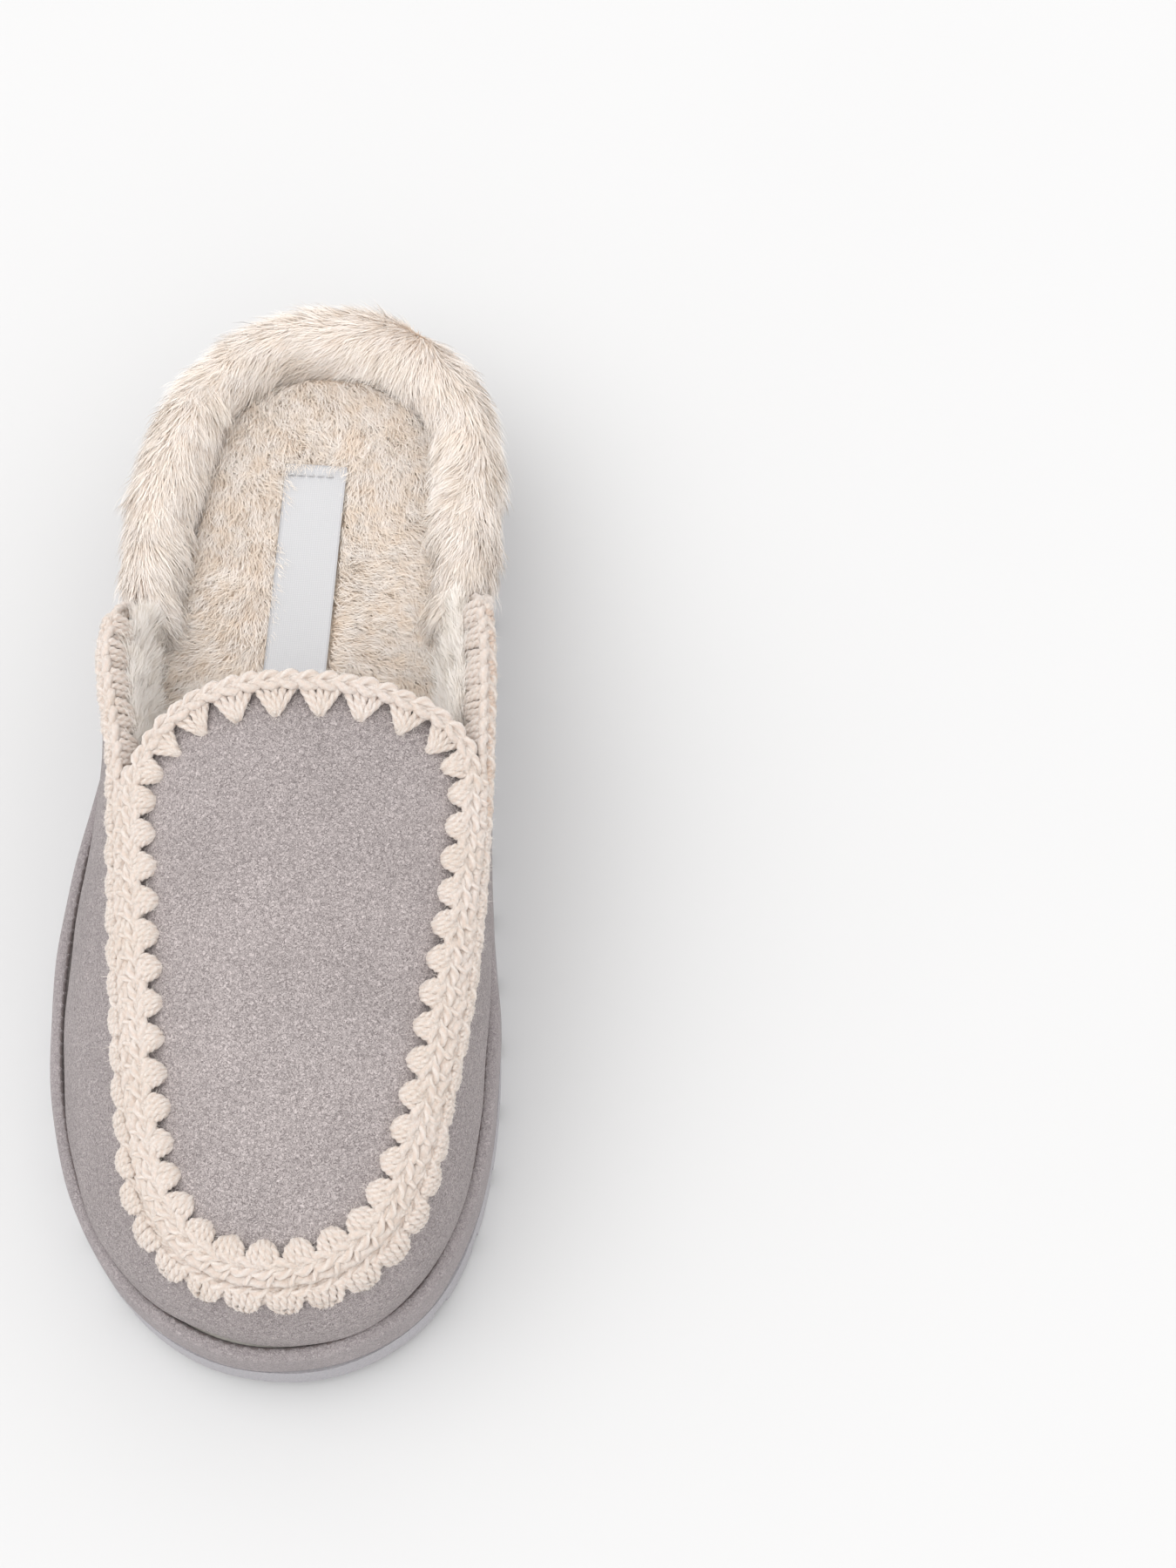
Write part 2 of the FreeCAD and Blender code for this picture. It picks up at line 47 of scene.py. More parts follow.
# The line between the two chains of the moccasin seam, closed across the throat, as in the CAD.
APRON = (
    (7, 15.5), (-4, 15), (-15, 12.5), (-24, 6.5), (-30, -3), (-31, -15), (-29.5, -35),
    (-27.5, -58), (-25.5, -78), (-22, -95), (-14, -107), (-3, -112.5), (9, -113), (20, -109.5),
    (29, -101.5), (34.5, -89), (38, -75), (42, -52), (45, -30), (46.8, -8), (46, 1), (41, 8),
    (31, 12.5), (19, 15),
)
CROWN_Y = (-118, -108, -90, -45, 0, 20)
CROWN_Z = (46.0, 51.1, 56.9, 66.4, 73.0, 74.8)
SOLE = (
    (0.10, -1.0), (0.42, -0.972), (0.72, -0.88), (0.93, -0.69), (1.0, -0.42), (0.95, -0.12),
    (0.90, 0.18), (0.92, 0.48), (0.89, 0.72), (0.73, 0.89), (0.43, 0.978), (0.10, 1.0),
    (-0.22, 0.965), (-0.50, 0.86), (-0.68, 0.68), (-0.755, 0.40), (-0.82, 0.14), (-0.95, -0.11),
    (-1.0, -0.36), (-0.955, -0.57), (-0.80, -0.76), (-0.53, -0.905), (-0.20, -0.983),
)
# The upper's wall: (foot x, y), (top x, y), top z; a height of None follows the apron.
WALL = (
    ((-35.5, 50), (-38.0, 38), 56), ((-36.5, 36), (-38.8, 28), 59.5),
    ((-37.5, 20), (-37.3, 16), 61), ((-40, 3), (-34.8, 3), 61.5),
    ((-43.8, -14), (-33.8, -12), None), ((-47, -38), (-32.4, -35), None),
    ((-46.8, -62), (-30.6, -58), None), ((-43.0, -83), (-28.6, -78), None),
    ((-35, -101), (-24.6, -97), None), ((-22, -114), (-16, -109.5), None),
    ((-7, -121), (-3.5, -115.5), None), ((8, -122.5), (9.5, -116), None),
    ((23, -118.5), (21.8, -112.2), None), ((36, -107), (31.6, -103.2), None),
    ((43.8, -90), (37.5, -90), None), ((46.9, -70), (41, -74), None),
    ((47.6, -50), (45, -52), None), ((46.6, -28), (47.2, -30), None),
    ((44.2, -6), (48.2, -8), None), ((42.8, 10), (48.4, 8), 61.5),
    ((42.5, 24), (48.5, 20), 61), ((43, 38), (48, 32), 59.5),
    ((43.8, 52), (46.8, 42), 56),
)
WALL_BULGE = 2.6
# board, cushion and sock, from the platform's upper edge to the pile's ground
STACK = 8.5
LABEL_TURN = math.radians(3.5)
LABEL_AXIS = np.array([math.sin(LABEL_TURN), math.cos(LABEL_TURN), 0])
LABEL_ACROSS = np.array([LABEL_AXIS[1], -LABEL_AXIS[0], 0])
UP = np.array((0.0, 0.0, 1.0))


# ---- small geometry tools -----------------------------------------------------------------------------


def unit(v):
    v = np.asarray(v, float)
    return v / np.maximum(np.linalg.norm(v, axis=-1, keepdims=True), 1e-9)


class Spline:
    """A smooth curve through points, measured by arc length in mm."""

    def __init__(self, points, closed=False, fine=1200):
        p = np.asarray(points, float)
        if closed:
            wrapped = np.vstack([p[-3:], p, p[:4]])
        else:
            wrapped = np.vstack([2 * p[0] - p[1], p, 2 * p[-1] - p[-2]])
        knots = np.concatenate([[0], np.cumsum(np.linalg.norm(np.diff(wrapped, axis=0), axis=1) ** 0.5)])
        start, end = (3, len(p) + 3) if closed else (1, len(p))
        at = np.linspace(knots[start], knots[end], fine + 1)
        i = np.clip(np.searchsorted(knots, at, side="right") - 1, 1, len(knots) - 3)
        slope = np.gradient(wrapped, knots, axis=0)
        h = (knots[i + 1] - knots[i])[:, None]
        t = ((at - knots[i])[:, None]) / h
        a, b, c, d = 2 * t**3 - 3 * t**2 + 1, t**3 - 2 * t**2 + t, -2 * t**3 + 3 * t**2, t**3 - t**2
        self.pts = a * wrapped[i] + b * h * slope[i] + c * wrapped[i + 1] + d * h * slope[i + 1]
        self.s = np.concatenate([[0], np.cumsum(np.linalg.norm(np.diff(self.pts, axis=0), axis=1))])
        self.length, self.closed = float(self.s[-1]), closed

    def at(self, s):
        s = np.mod(s, self.length) if self.closed else np.clip(s, 0, self.length)
        return np.stack([np.interp(s, self.s, self.pts[:, k]) for k in range(self.pts.shape[1])], axis=-1)

    def along(self, s, step=0.6):
        s = np.asarray(s, float)
        if self.closed:
            return unit(self.at(s + step) - self.at(s - step))
        return unit(self.at(np.minimum(s + step, self.length)) - self.at(np.maximum(s - step, 0)))


def rise(v):
    """Plan vectors with a height of zero added."""
    return np.concatenate([v, np.zeros(v.shape[:-1] + (1,))], axis=-1)


def left_of(along):
    """The level direction to the left of a direction: into the slipper, for every outline here."""
    return unit(np.stack([-along[..., 1], along[..., 0], np.zeros(along.shape[:-1])], axis=-1))


crown = Spline(list(zip(CROWN_Y, CROWN_Z)))
edge_line = Spline([(-130, 25.6), (-88, 24.0), (-50, 24.0), (19, 27.3), (76, 29.6), (130, 30.0)])


def dome(x, y):
    """Height of the apron's face."""
    return np.interp(y, crown.pts[:, 0], crown.pts[:, 1]) - 0.0068 * (x - 7.0) ** 2


def edge_height(y):
    """Height of the platform's upper edge."""
    return np.interp(y, edge_line.pts[:, 0], edge_line.pts[:, 1])


def noise3(p, scale, seed):
    """Smooth noise in -1..1 at points p, features about scale mm across."""
    gen = np.random.default_rng(seed)
    out = np.zeros(len(p))
    for _ in range(7):
        wave = unit(gen.normal(size=3)) * (2 * math.pi / scale) * gen.uniform(0.6, 1.5)
        out += np.sin(p @ wave + gen.uniform(0, 6.28))
    return out / 3.5


def surface_of(node):
    """A CAD node's vertices in mm and its triangles."""
    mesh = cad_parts[node].data
    co = np.zeros(len(mesh.vertices) * 3)
    mesh.vertices.foreach_get("co", co)
    mesh.calc_loop_triangles()
    tri = np.zeros(len(mesh.loop_triangles) * 3, np.int64)
    mesh.loop_triangles.foreach_get("vertices", tri)
    return co.reshape(-1, 3) / MM, tri.reshape(-1, 3)


def scatter(verts, tris, count, keep):
    """Random points on a surface and its normals there; keep(points, normals) says which may stay."""
    a, b, c = (verts[tris[:, k]] for k in range(3))
    cross = np.cross(b - a, c - a)
    area = np.linalg.norm(cross, axis=1)
    pick = rng.choice(len(tris), size=count, p=area / area.sum())
    u, v = rng.random((2, count))
    flip = u + v > 1
    u, v = np.where(flip, 1 - u, u), np.where(flip, 1 - v, v)
    points = a[pick] + u[:, None] * (b - a)[pick] + v[:, None] * (c - a)[pick]
    normals = unit(cross[pick])
    good = keep(points, normals)
    return points[good], normals[good]


def build(name, verts, faces, material, replaces=(), normals=None, attributes=None):
    """A piece from points in mm and faces given as arrays of triangles and quads."""
    mesh = bpy.data.meshes.new(name)
    verts = np.asarray(verts, float)
    blocks = [np.asarray(f, np.int64) for f in faces if len(f)]
    mesh.vertices.add(len(verts))
    mesh.vertices.foreach_set("co", (verts * MM).astype(np.float32).ravel())
    sizes = np.concatenate([np.full(len(f), f.shape[1]) for f in blocks])
    mesh.loops.add(int(sizes.sum()))
    mesh.loops.foreach_set("vertex_index", np.concatenate([f.ravel() for f in blocks]).astype(np.int32))
    mesh.polygons.add(len(sizes))
    mesh.polygons.foreach_set("loop_start", np.concatenate([[0], np.cumsum(sizes)[:-1]]).astype(np.int32))
    mesh.polygons.foreach_set("loop_total", sizes.astype(np.int32))
    mesh.update(calc_edges=True)
    mesh.polygons.foreach_set("use_smooth", np.ones(len(sizes), bool))
    for key, values in (attributes or {}).items():
        layer = mesh.attributes.new(key, "FLOAT", "POINT")
        layer.data.foreach_set("value", np.asarray(values, np.float32))
    if normals is not None:
        mesh.normals_split_custom_set_from_vertices(np.asarray(normals, np.float32))
    piece = bpy.data.objects.new(name, mesh)
    bpy.context.scene.collection.objects.link(piece)
    mesh.materials.append(material)
    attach(piece, "root")
    if replaces:
        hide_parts(*replaces)
    return piece


def grid_faces(rows, cols, close_cols=False, start=0):
    """Quads of a grid of points stored row by row."""
    r = np.arange(rows - 1)
    c = np.arange(cols if close_cols else cols - 1)
    r, c = np.meshgrid(r, c, indexing="ij")
    r2, c2 = r + 1, (c + 1) % cols
    return start + np.stack([r * cols + c, r * cols + c2, r2 * cols + c2, r2 * cols + c], -1).reshape(-1, 4)


# ---- materials ----------------------------------------------------------------------------------------


class Mat:
    """A short way to write node materials."""

    def __init__(self, name, rough=0.9, **sockets):
        self.m = bpy.data.materials.new(name)
        self.m.use_nodes = True
        self.tree = self.m.node_tree
        self.bsdf = self.tree.nodes["Principled BSDF"]
        self.bsdf.inputs["Roughness"].default_value = rough
        for key, value in sockets.items():
            self.bsdf.inputs[key.replace("_", " ")].default_value = value

    def node(self, kind, inputs=None, **props):
        n = self.tree.nodes.new(kind)
        for key, value in props.items():
            setattr(n, key, value)
        for key, value in (inputs or {}).items():
            socket = n.inputs[key]
            if isinstance(value, bpy.types.NodeSocket):
                self.tree.links.new(value, socket)
            else:
                socket.default_value = value
        return n

    def coords(self, angle=0.0):
        coord = self.node("ShaderNodeTexCoord")
        place = self.node("ShaderNodeMapping", {"Vector": coord.outputs["Object"]})
        place.inputs["Rotation"].default_value = (0, 0, angle)
        return place.outputs["Vector"]

    def noise(self, size_mm, detail=2.0, rough=0.5, distortion=0.0):
        inputs = {"Vector": self.coords(), "Scale": 1000.0 / size_mm, "Detail": detail, "Roughness": rough,
                  "Distortion": distortion}
        return self.node("ShaderNodeTexNoise", inputs).outputs["Fac"]

    def ramp(self, value, stops):
        n = self.node("ShaderNodeValToRGB", {"Fac": value})
        elements = n.color_ramp.elements
        while len(elements) < len(stops):
            elements.new(0.5)
        for element, (place, colour) in zip(elements, stops):
            element.position = place
            element.color = (*colour, 1) if len(colour) == 3 else colour
        return n.outputs["Color"]

    def mix(self, factor, a, b, kind="MIX"):
        n = self.node("ShaderNodeMix", data_type="RGBA", blend_type=kind)
        for socket, value in zip((n.inputs[0], n.inputs[6], n.inputs[7]), (factor, a, b)):
            if isinstance(value, bpy.types.NodeSocket):
                self.tree.links.new(value, socket)
            else:
                whole = (*value, 1) if hasattr(value, "__len__") and len(value) == 3 else value
                socket.default_value = whole
        return n.outputs[2]

    def math(self, op, a, b=0.0):
        n = self.node("ShaderNodeMath", operation=op)
        for socket, value in zip(n.inputs, (a, b)):
            if isinstance(value, bpy.types.NodeSocket):
                self.tree.links.new(value, socket)
            else:
                socket.default_value = value
        return n.outputs[0]

    def bump(self, height, strength, distance_mm, under=None):
        inputs = {"Height": height, "Strength": strength, "Distance": distance_mm * MM}
        if under is not None:
            inputs["Normal"] = under
        return self.node("ShaderNodeBump", inputs).outputs["Normal"]

    def set(self, **links):
        for key, value in links.items():
            self.tree.links.new(value, self.bsdf.inputs[key.replace("_", " ")])
        return self.m


def suede(name, light, dark, mottle=0.35):
    """Microfibre suede: a short nap whose fibres lie in soft patches and catch the light in fine flecks."""
    m = Mat(name, 0.92, Sheen_Weight=0.08, Sheen_Roughness=0.6, Specular_IOR_Level=0.12)
    flecks = m.noise(0.5, 3.0, rough=0.6, distortion=1.6)
    patches = m.noise(16, 2.0, rough=0.45)
    broad = m.noise(45, 1.0)
    nap = m.ramp(flecks, ((0.37, dark), (0.64, light)))
    shade = m.ramp(patches, ((0.3, (1 - mottle * 0.28,) * 3), (0.7, (1.0, 1.0, 1.0))))
    wide = m.ramp(broad, ((0.3, (0.95, 0.945, 0.945)), (0.7, (1.0, 1.0, 1.0))))
    colour = m.mix(1.0, m.mix(1.0, nap, shade, "MULTIPLY"), wide, "MULTIPLY")
    fibres = m.bump(flecks, 1.0, 0.55, m.bump(patches, 0.12, 1.0))
    return m.set(Base_Color=colour, Normal=fibres, Roughness=m.math("MULTIPLY_ADD", flecks, 0.12))


def pile(name, root, tip, spread=0.1, mottle=(0.965, 0.95, 0.925), size=7):
    """Fibres: darker and warmer towards the root, painted shade deep in the pile; each one a little
    different, with soft clumps of tone.
    """
    m = Mat(name, 0.62, Sheen_Weight=0.25, Sheen_Roughness=0.4, Specular_IOR_Level=0.28)
    along = m.node("ShaderNodeAttribute", attribute_name="tip").outputs["Fac"]
    own = m.node("ShaderNodeAttribute", attribute_name="own").outputs["Fac"]
    clumps = m.noise(size, 2.0)
    # painted shade: each fibre darkens from its tip colour towards its root colour
    colour = m.mix(m.math("POWER", along, 0.7), root, tip)
    tone = m.ramp(own, ((0.0, (1 - spread, 1 - spread * 1.15, 1 - spread * 1.4)), (1.0, (1.0, 1.0, 1.0))))
    soft = m.ramp(clumps, ((0.36, mottle), (0.6, (1.0, 1.0, 1.0))))
    colour = m.mix(1.0, m.mix(1.0, colour, tone, "MULTIPLY"), soft, "MULTIPLY")
    return m.set(Base_Color=colour)


def backing(name, low, high):
    """The knitted ground that the pile grows from, seen only between fibres."""
    m = Mat(name, 0.95, Specular_IOR_Level=0.1)
    fine = m.noise(0.9, 3.0, rough=0.7)
    return m.set(Base_Color=m.ramp(fine, ((0.3, low), (0.7, high))), Normal=m.bump(fine, 0.6, 0.8))


def yarn(name, light, dark):
    """Soft spun yarn: fine fibres that lie across each strand, with painted shade where strands meet and on
    each strand's underside.
    """
    m = Mat(name, 0.85, Sheen_Weight=0.4, Sheen_Roughness=0.45, Specular_IOR_Level=0.2)
    fibres = m.noise(0.35, 3.0, rough=0.7, distortion=0.8)
    tone = m.noise(9, 1.5)
    painted_yarn_shade = m.node("ShaderNodeAttribute", attribute_name="painted_yarn_shade").outputs["Fac"]
    colour = m.ramp(fibres, ((0.3, tuple(c * 0.84 for c in light)), (0.66, light)))
    # painted shade in the grooves and on the strands' undersides, mixed towards the dark colour
    colour = m.mix(m.math("MULTIPLY", painted_yarn_shade, 0.75), colour, dark)
    soft = m.ramp(tone, ((0.3, (0.96, 0.945, 0.92)), (0.7, (1.0, 1.0, 1.0))))
    return m.set(Base_Color=m.mix(1.0, colour, soft, "MULTIPLY"), Normal=m.bump(fibres, 0.9, 0.45))


def rubber(name, light, dark):
    """Moulded rubber with a fine spark-eroded grain and a little scuffing."""
    m = Mat(name, 0.6, Specular_IOR_Level=0.4)
    grain = m.noise(0.5, 2.0, rough=0.6)
    cloud = m.noise(14, 2.0)
    colour = m.mix(1.0, m.ramp(grain, ((0.35, dark), (0.65, light))),
                   m.ramp(cloud, ((0.3, (0.93, 0.93, 0.94)), (0.7, (1.0, 1.0, 1.0)))), "MULTIPLY")
    rough = m.ramp(cloud, ((0.3, (0.5, 0.5, 0.5)), (0.7, (0.66, 0.66, 0.66))))
    return m.set(Base_Color=colour, Roughness=rough, Normal=m.bump(grain, 0.25, 0.2))


def satin(name, light, dark):
    """Woven satin ribbon: long floats with a fine rib across."""
    m = Mat(name, 0.45, Sheen_Weight=0.2, Specular_IOR_Level=0.5)
    waves = []
    for direction, scale, distortion in (("X", 620.0, 0.4), ("Y", 760.0, 0.3)):
        inputs = {"Vector": m.coords(LABEL_TURN), "Scale": scale, "Distortion": distortion, "Detail": 1.0}
        wave = m.node("ShaderNodeTexWave", inputs, wave_type="BANDS", bands_direction=direction)
        waves.append(wave.outputs["Fac"])
    weave = m.math("MULTIPLY", *waves)
    colour = m.ramp(weave, ((0.0, dark), (0.8, light)))
    return m.set(Base_Color=colour, Normal=m.bump(weave, 0.3, 0.12))


def hidden(name, light, dark):
    """Foam or board that the assembled slipper hides."""
    m = Mat(name, 0.9, Specular_IOR_Level=0.2)
    cells = m.noise(1.6, 2.0)
    return m.set(Base_Color=m.ramp(cells, ((0.35, dark), (0.65, light))), Normal=m.bump(cells, 0.3, 0.4))


UPPER = suede("upper_suede", (0.69, 0.617, 0.609), (0.235, 0.203, 0.201))
# The wall's suede is a darker copy of the upper's: painted shade, as the steep wall is turned from the
# light.
SHADED_WALL_SUEDE = suede("upper_suede_wall_painted_shade", (0.57, 0.508, 0.506), (0.21, 0.182, 0.182))
PLATFORM = suede("platform_suede", (0.54, 0.484, 0.489), (0.29, 0.256, 0.261))
RUBBER = rubber("outsole_rubber", (0.45, 0.436, 0.455), (0.36, 0.346, 0.366))
# Each pile's first colour is its roots': darker and warmer, painted shade deep in the pile.
COLLAR_PILE = pile("collar_pile", (0.91, 0.735, 0.585), (1.0, 0.966, 0.938), 0.05)
FOOTBED_PILE = pile("footbed_pile", (0.93, 0.77, 0.63), (1.0, 0.965, 0.93), 0.07, (0.955, 0.905, 0.845), 4)
# The lining pile is paler than the others: painted light that lifts the shade inside the wings and under
# the apron.
BRIGHTENED_LINING_PILE = pile("lining_pile", (0.97, 0.87, 0.78), (1.0, 0.975, 0.945), 0.04)
PILE_GROUND = backing("pile_ground", (0.86, 0.74, 0.63), (0.96, 0.87, 0.77))
# Each yarn's second colour is painted shade, laid into its grooves and on its undersides.
YARN = yarn("crochet_yarn", (0.90, 0.818, 0.762), (0.66, 0.46, 0.34))
LABEL = satin("label_satin", (0.60, 0.60, 0.61), (0.51, 0.51, 0.525))
WHITE_THREAD = yarn("label_thread", (0.82, 0.82, 0.84), (0.5, 0.5, 0.52))
# The seam thread's very dark colour is partly painted shade for the groove the stitches sit in.
SEAM_THREAD_AND_SHADE = yarn("seam_thread", (0.19, 0.155, 0.155), (0.08, 0.06, 0.06))
YARN_FUZZ = pile("yarn_fuzz", (0.90, 0.83, 0.77), (0.98, 0.94, 0.90), 0.05)
FOAM = hidden("foam", (0.82, 0.80, 0.74), (0.70, 0.68, 0.62))
BOARD = hidden("fibre_board", (0.62, 0.52, 0.40), (0.48, 0.39, 0.29))
STIFFENER = hidden("stiffener", (0.62, 0.62, 0.60), (0.50, 0.50, 0.48))

for node, material in (("outsole", RUBBER), ("midsole_foam", FOAM), ("insole_board", BOARD),
                       ("cushion_foam", FOAM), ("collar_foam", FOAM), ("toe_puff", STIFFENER)):
    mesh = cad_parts[node].data
    mesh.materials.clear()
    mesh.materials.append(material)


# ---- platform -----------------------------------------------------------------------------------------

sole = Spline([(x * 51.0, y * 126.0) for x, y in SOLE], closed=True, fine=2400)


def make_platform():
    """The suede that wraps the platform: bulging a little at the sides, rolled over at its upper edge."""
    count = 420
    s = np.linspace(0, sole.length, count, endpoint=False)
    p, along = sole.at(s), sole.along(s)
    inward = left_of(rise(along))
    top = edge_height(p[:, 1])
    tread, toe_spring, heel_bevel, roll = 9.0, 4.5, 1.6, 2.5
    low = tread + np.where(p[:, 1] < -73, toe_spring * np.clip((-73 - p[:, 1]) / 53, 0, 1) ** 2, 0)
    low = low + np.where(p[:, 1] > 111, heel_bevel * np.clip((p[:, 1] - 111) / 15, 0, 1) ** 2, 0)
    wobble = 0.16 * noise3(rise(p), 30, 3)
    # (inset, share of the wall's height, extra height)
    profile = [(1.3, 0.0, -0.3), (0.45, 0.0, 0.15), (0.1, 0.06, 0.0), (-0.15, 0.25, 0.0), (-0.2, 0.5, 0.0),
               (-0.1, 0.72, 0.0)]
    rings = []
    for inset, share, extra in profile:
        z = low + (top - 2.6 - low) * share + extra
        rings.append(rise(p) + inward * (inset + wobble)[:, None] + UP * z[:, None])
    for k in range(9):
        angle = math.radians(-8 + 98 * k / 8)
        inset = roll - roll * math.cos(angle)
        z = top - roll + roll * math.sin(angle) + 0.1
        rings.append(rise(p) + inward * (inset + wobble)[:, None] + UP * z[:, None])
    for inset, drop in ((2.9, 0.1), (3.3, 0.7), (3.6, 1.7), (4.4, 2.2)):
        rings.append(rise(p) + inward * inset + UP * (top - drop)[:, None])
    verts = np.vstack(rings)
    faces = grid_faces(len(rings), count, close_cols=True)
    build("platform_wrap", verts, [faces], PLATFORM, ["platform_cover"])


def dashes(name, curve, height, pitch, gap, radius, material, replaces, dip=0.5):
    """A row of thread stitches along a curve: each a short cord that rises and dives back."""
    count = int(curve.length / pitch)
    verts, faces, painted_yarn_shade = [], [], []
    for i in range(count):
        s = (i + 0.5) * pitch + np.linspace(-0.5, 0.5, 7) * (pitch - gap)
        p = curve.at(s)
        z = height(p) + radius * 0.6 - dip * np.array([1.0, 0.35, 0, 0, 0, 0.35, 1.0])
        path = np.column_stack([p[:, :2], z])
        v, f, g = strand(path, radius, turns=1.4, sides=8, lobes=2, depth=0.12)
        faces.append(f + len(np.vstack(verts)) if verts else f)
        verts.append(v)
        painted_yarn_shade.append(g)
    build(name, np.vstack(verts), [np.vstack(faces)], material, replaces,
          attributes={"painted_yarn_shade": np.concatenate(painted_yarn_shade)})


# ---- yarn ---------------------------------------------------------------------------------------------


def strand(path, radius, turns=2.0, sides=12, lobes=3, depth=0.17, phase=0.0):
    """A plied strand along a path, its section lobed and twisted, its ends rounded.
    Returns points, quads and each point's painted shade: darker in a groove and on the strand's underside."""
    path = np.asarray(path, float)
    radius = np.broadcast_to(np.asarray(radius, float), (len(path),))
    first, last = unit(path[:1] - path[1:2]), unit(path[-1:] - path[-2:-1])
    path = np.vstack([path[:1] + first * radius[0] * 0.55, path[:1] + first * radius[0] * 0.4, path,
                      path[-1:] + last * radius[-1] * 0.4, path[-1:] + last * radius[-1] * 0.55])
    radius = np.concatenate([radius[0] * np.array([0.03, 0.7]), radius, radius[-1] * np.array([0.7, 0.03])])
    n = len(path)
    along = unit(np.gradient(path, axis=0))
    ref = np.where(np.abs(along[:, 2:3]) > 0.9, np.array([[1.0, 0, 0]]), UP[None, :])
    side = unit(np.cross(along, ref))
    up = np.cross(side, along)
    for i in range(1, n):
        if side[i] @ side[i - 1] < 0:
            side[i], up[i] = -side[i], -up[i]
    if up[n // 2, 2] < 0:
        side, up = -side, -up
    angle = np.linspace(0, 2 * math.pi, sides, endpoint=False)
    twist = np.linspace(0, turns * 2 * math.pi, n)[:, None] + phase
    wave = np.cos(lobes * (angle[None, :] - twist))
    r = radius[:, None] * (1 + depth * wave)
    verts = (path[:, None, :] + side[:, None, :] * (r * np.cos(angle))[..., None]
             + up[:, None, :] * (r * np.sin(angle))[..., None])
    # painted shade: darker in the grooves between plies and on the underside of the strand
    painted_yarn_shade = np.clip(0.5 - 0.75 * wave, 0, 1)
    low = np.clip(-np.sin(angle), 0, 1)[None, :] * 0.6
    shade = np.clip(painted_yarn_shade * 0.5 + low, 0, 1).ravel()
    return verts.reshape(-1, 3), grid_faces(n, sides, close_cols=True), shade


class Yarns:
    """Gathers strands for one piece."""

    def __init__(self):
        self.v, self.f, self.g, self.n = [], [], [], 0

    def add(self, path, radius, **options):
        v, f, g = strand(path, radius, **options)
        self.v.append(v)
        self.f.append(f + self.n)
        self.g.append(g)
        self.n += len(v)

    def build(self, name, replaces):
        build(name, np.vstack(self.v), [np.vstack(self.f)], YARN, replaces,
              attributes={"painted_yarn_shade": np.concatenate(self.g)})


def braid(yarns, curve, normal, width, pitch=4.3, radius=0.92):
    """A row of crochet chain: V-shaped stitches, each tucked under the next."""
    count = int(curve.length / pitch)
    pitch = curve.length / count
    for i in range(count):
        middle = (i + 0.5) * pitch
        lean = rng.normal(0, 0.08, 2)
        for hand in (-1, 1):
            t = np.linspace(-0.15, 1.2, 9)
            s = middle + (t - 0.5) * pitch * 1.25
            if not curve.closed:
                s = np.clip(s, 0, curve.length)
            p, along = curve.at(s), curve.along(s)
            n = normal(p, s)
            across = unit(np.cross(along, n))
            swing = hand * width * (0.12 + 0.42 * np.sin(np.clip(t * 1.15 + 0.05, 0, 1) * math.pi) ** 0.8)
            lift = 0.75 * np.sin(np.clip(t + lean[0], 0, 1.2) * math.pi / 1.2) - 0.25
            size = radius * (0.8 + 0.3 * np.sin(np.clip(t, 0, 1) * math.pi)) * rng.uniform(0.93, 1.07)
            path = p + across * (swing + lean[1])[:, None] + n * lift[:, None]
            yarns.add(path, size, turns=1.3 * hand, phase=rng.uniform(0, 6), sides=12, depth=0.2)
        # the strand under the stitch, which fills its middle
        s = middle + np.linspace(-0.62, 0.62, 6) * pitch
        if not curve.closed:
            s = np.clip(s, 0, curve.length)
        p = curve.at(s)
        yarns.add(p - normal(p, s) * 0.6, radius * 1.45, turns=0.8, phase=rng.uniform(0, 6), sides=8)


def shell(yarns, base, along, down, up, wide, depth, rounded, strands=5, height=1.6, radius=0.9):
    """One crochet shell: strands that fan out from a hole in the suede up to the chain.
    rounded is 0 for a pointed V and 1 for a plump dome."""
    for k in range(strands):
        f = (k / (strands - 1) - 0.5) * 2
        jitter = rng.normal(0, 0.10, 2)
        t = np.linspace(0, 1, 11)
        point = (1 - t) ** 0.9
        plump = np.sqrt(np.clip(1 - t**2.4, 0, 1)) * 0.55 + 0.45
        spread = 0.5 * wide * f * (point * (1 - rounded) + plump * rounded)
        reach = depth * t * (1 - 0.17 * rounded * f * f * t)
        arch = height * np.sin(np.clip(0.14 + 0.86 * t, 0, 1) * math.pi) ** 0.75 * (1 - 0.30 * f * f) + 0.25
        arch[-1] -= 1.1
        path = (base + along * (spread + jitter[0])[:, None] + down * reach[:, None]
                + up * (arch + 0.3 * jitter[1])[:, None])
        size = radius * (1.04 - 0.16 * t) * rng.uniform(0.93, 1.07)
        yarns.add(path, size, turns=1.7, phase=rng.uniform(0, 6), sides=12, depth=0.2)


def places(start, end, pitch):
    """Middles and widths of shells that share out a length, pitch(s) giving the width wanted at s."""
    s = np.linspace(start, end, 2000)
    widths = np.array([pitch(v) for v in (s[1:] + s[:-1]) / 2])
    share = np.concatenate([[0], np.cumsum(1 / widths * np.diff(s))])
    count = int(round(share[-1]))
    edges = np.interp(np.linspace(0, share[-1], count + 1), share, s)
    return list(zip((edges[1:] + edges[:-1]) / 2, np.diff(edges)))


apron_line = Spline(APRON, closed=True, fine=2400)


def on_dome(plan, lift):
    return np.column_stack([plan, dome(plan[:, 0], plan[:, 1]) + lift])


def dome_normal(p, s=None):
    e = 0.5
    dx = (dome(p[:, 0] + e, p[:, 1]) - dome(p[:, 0] - e, p[:, 1])) / (2 * e)
    dy = (dome(p[:, 0], p[:, 1] + e) - dome(p[:, 0], p[:, 1] - e)) / (2 * e)
    return unit(np.column_stack([-dx, -dy, np.ones(len(p))]))


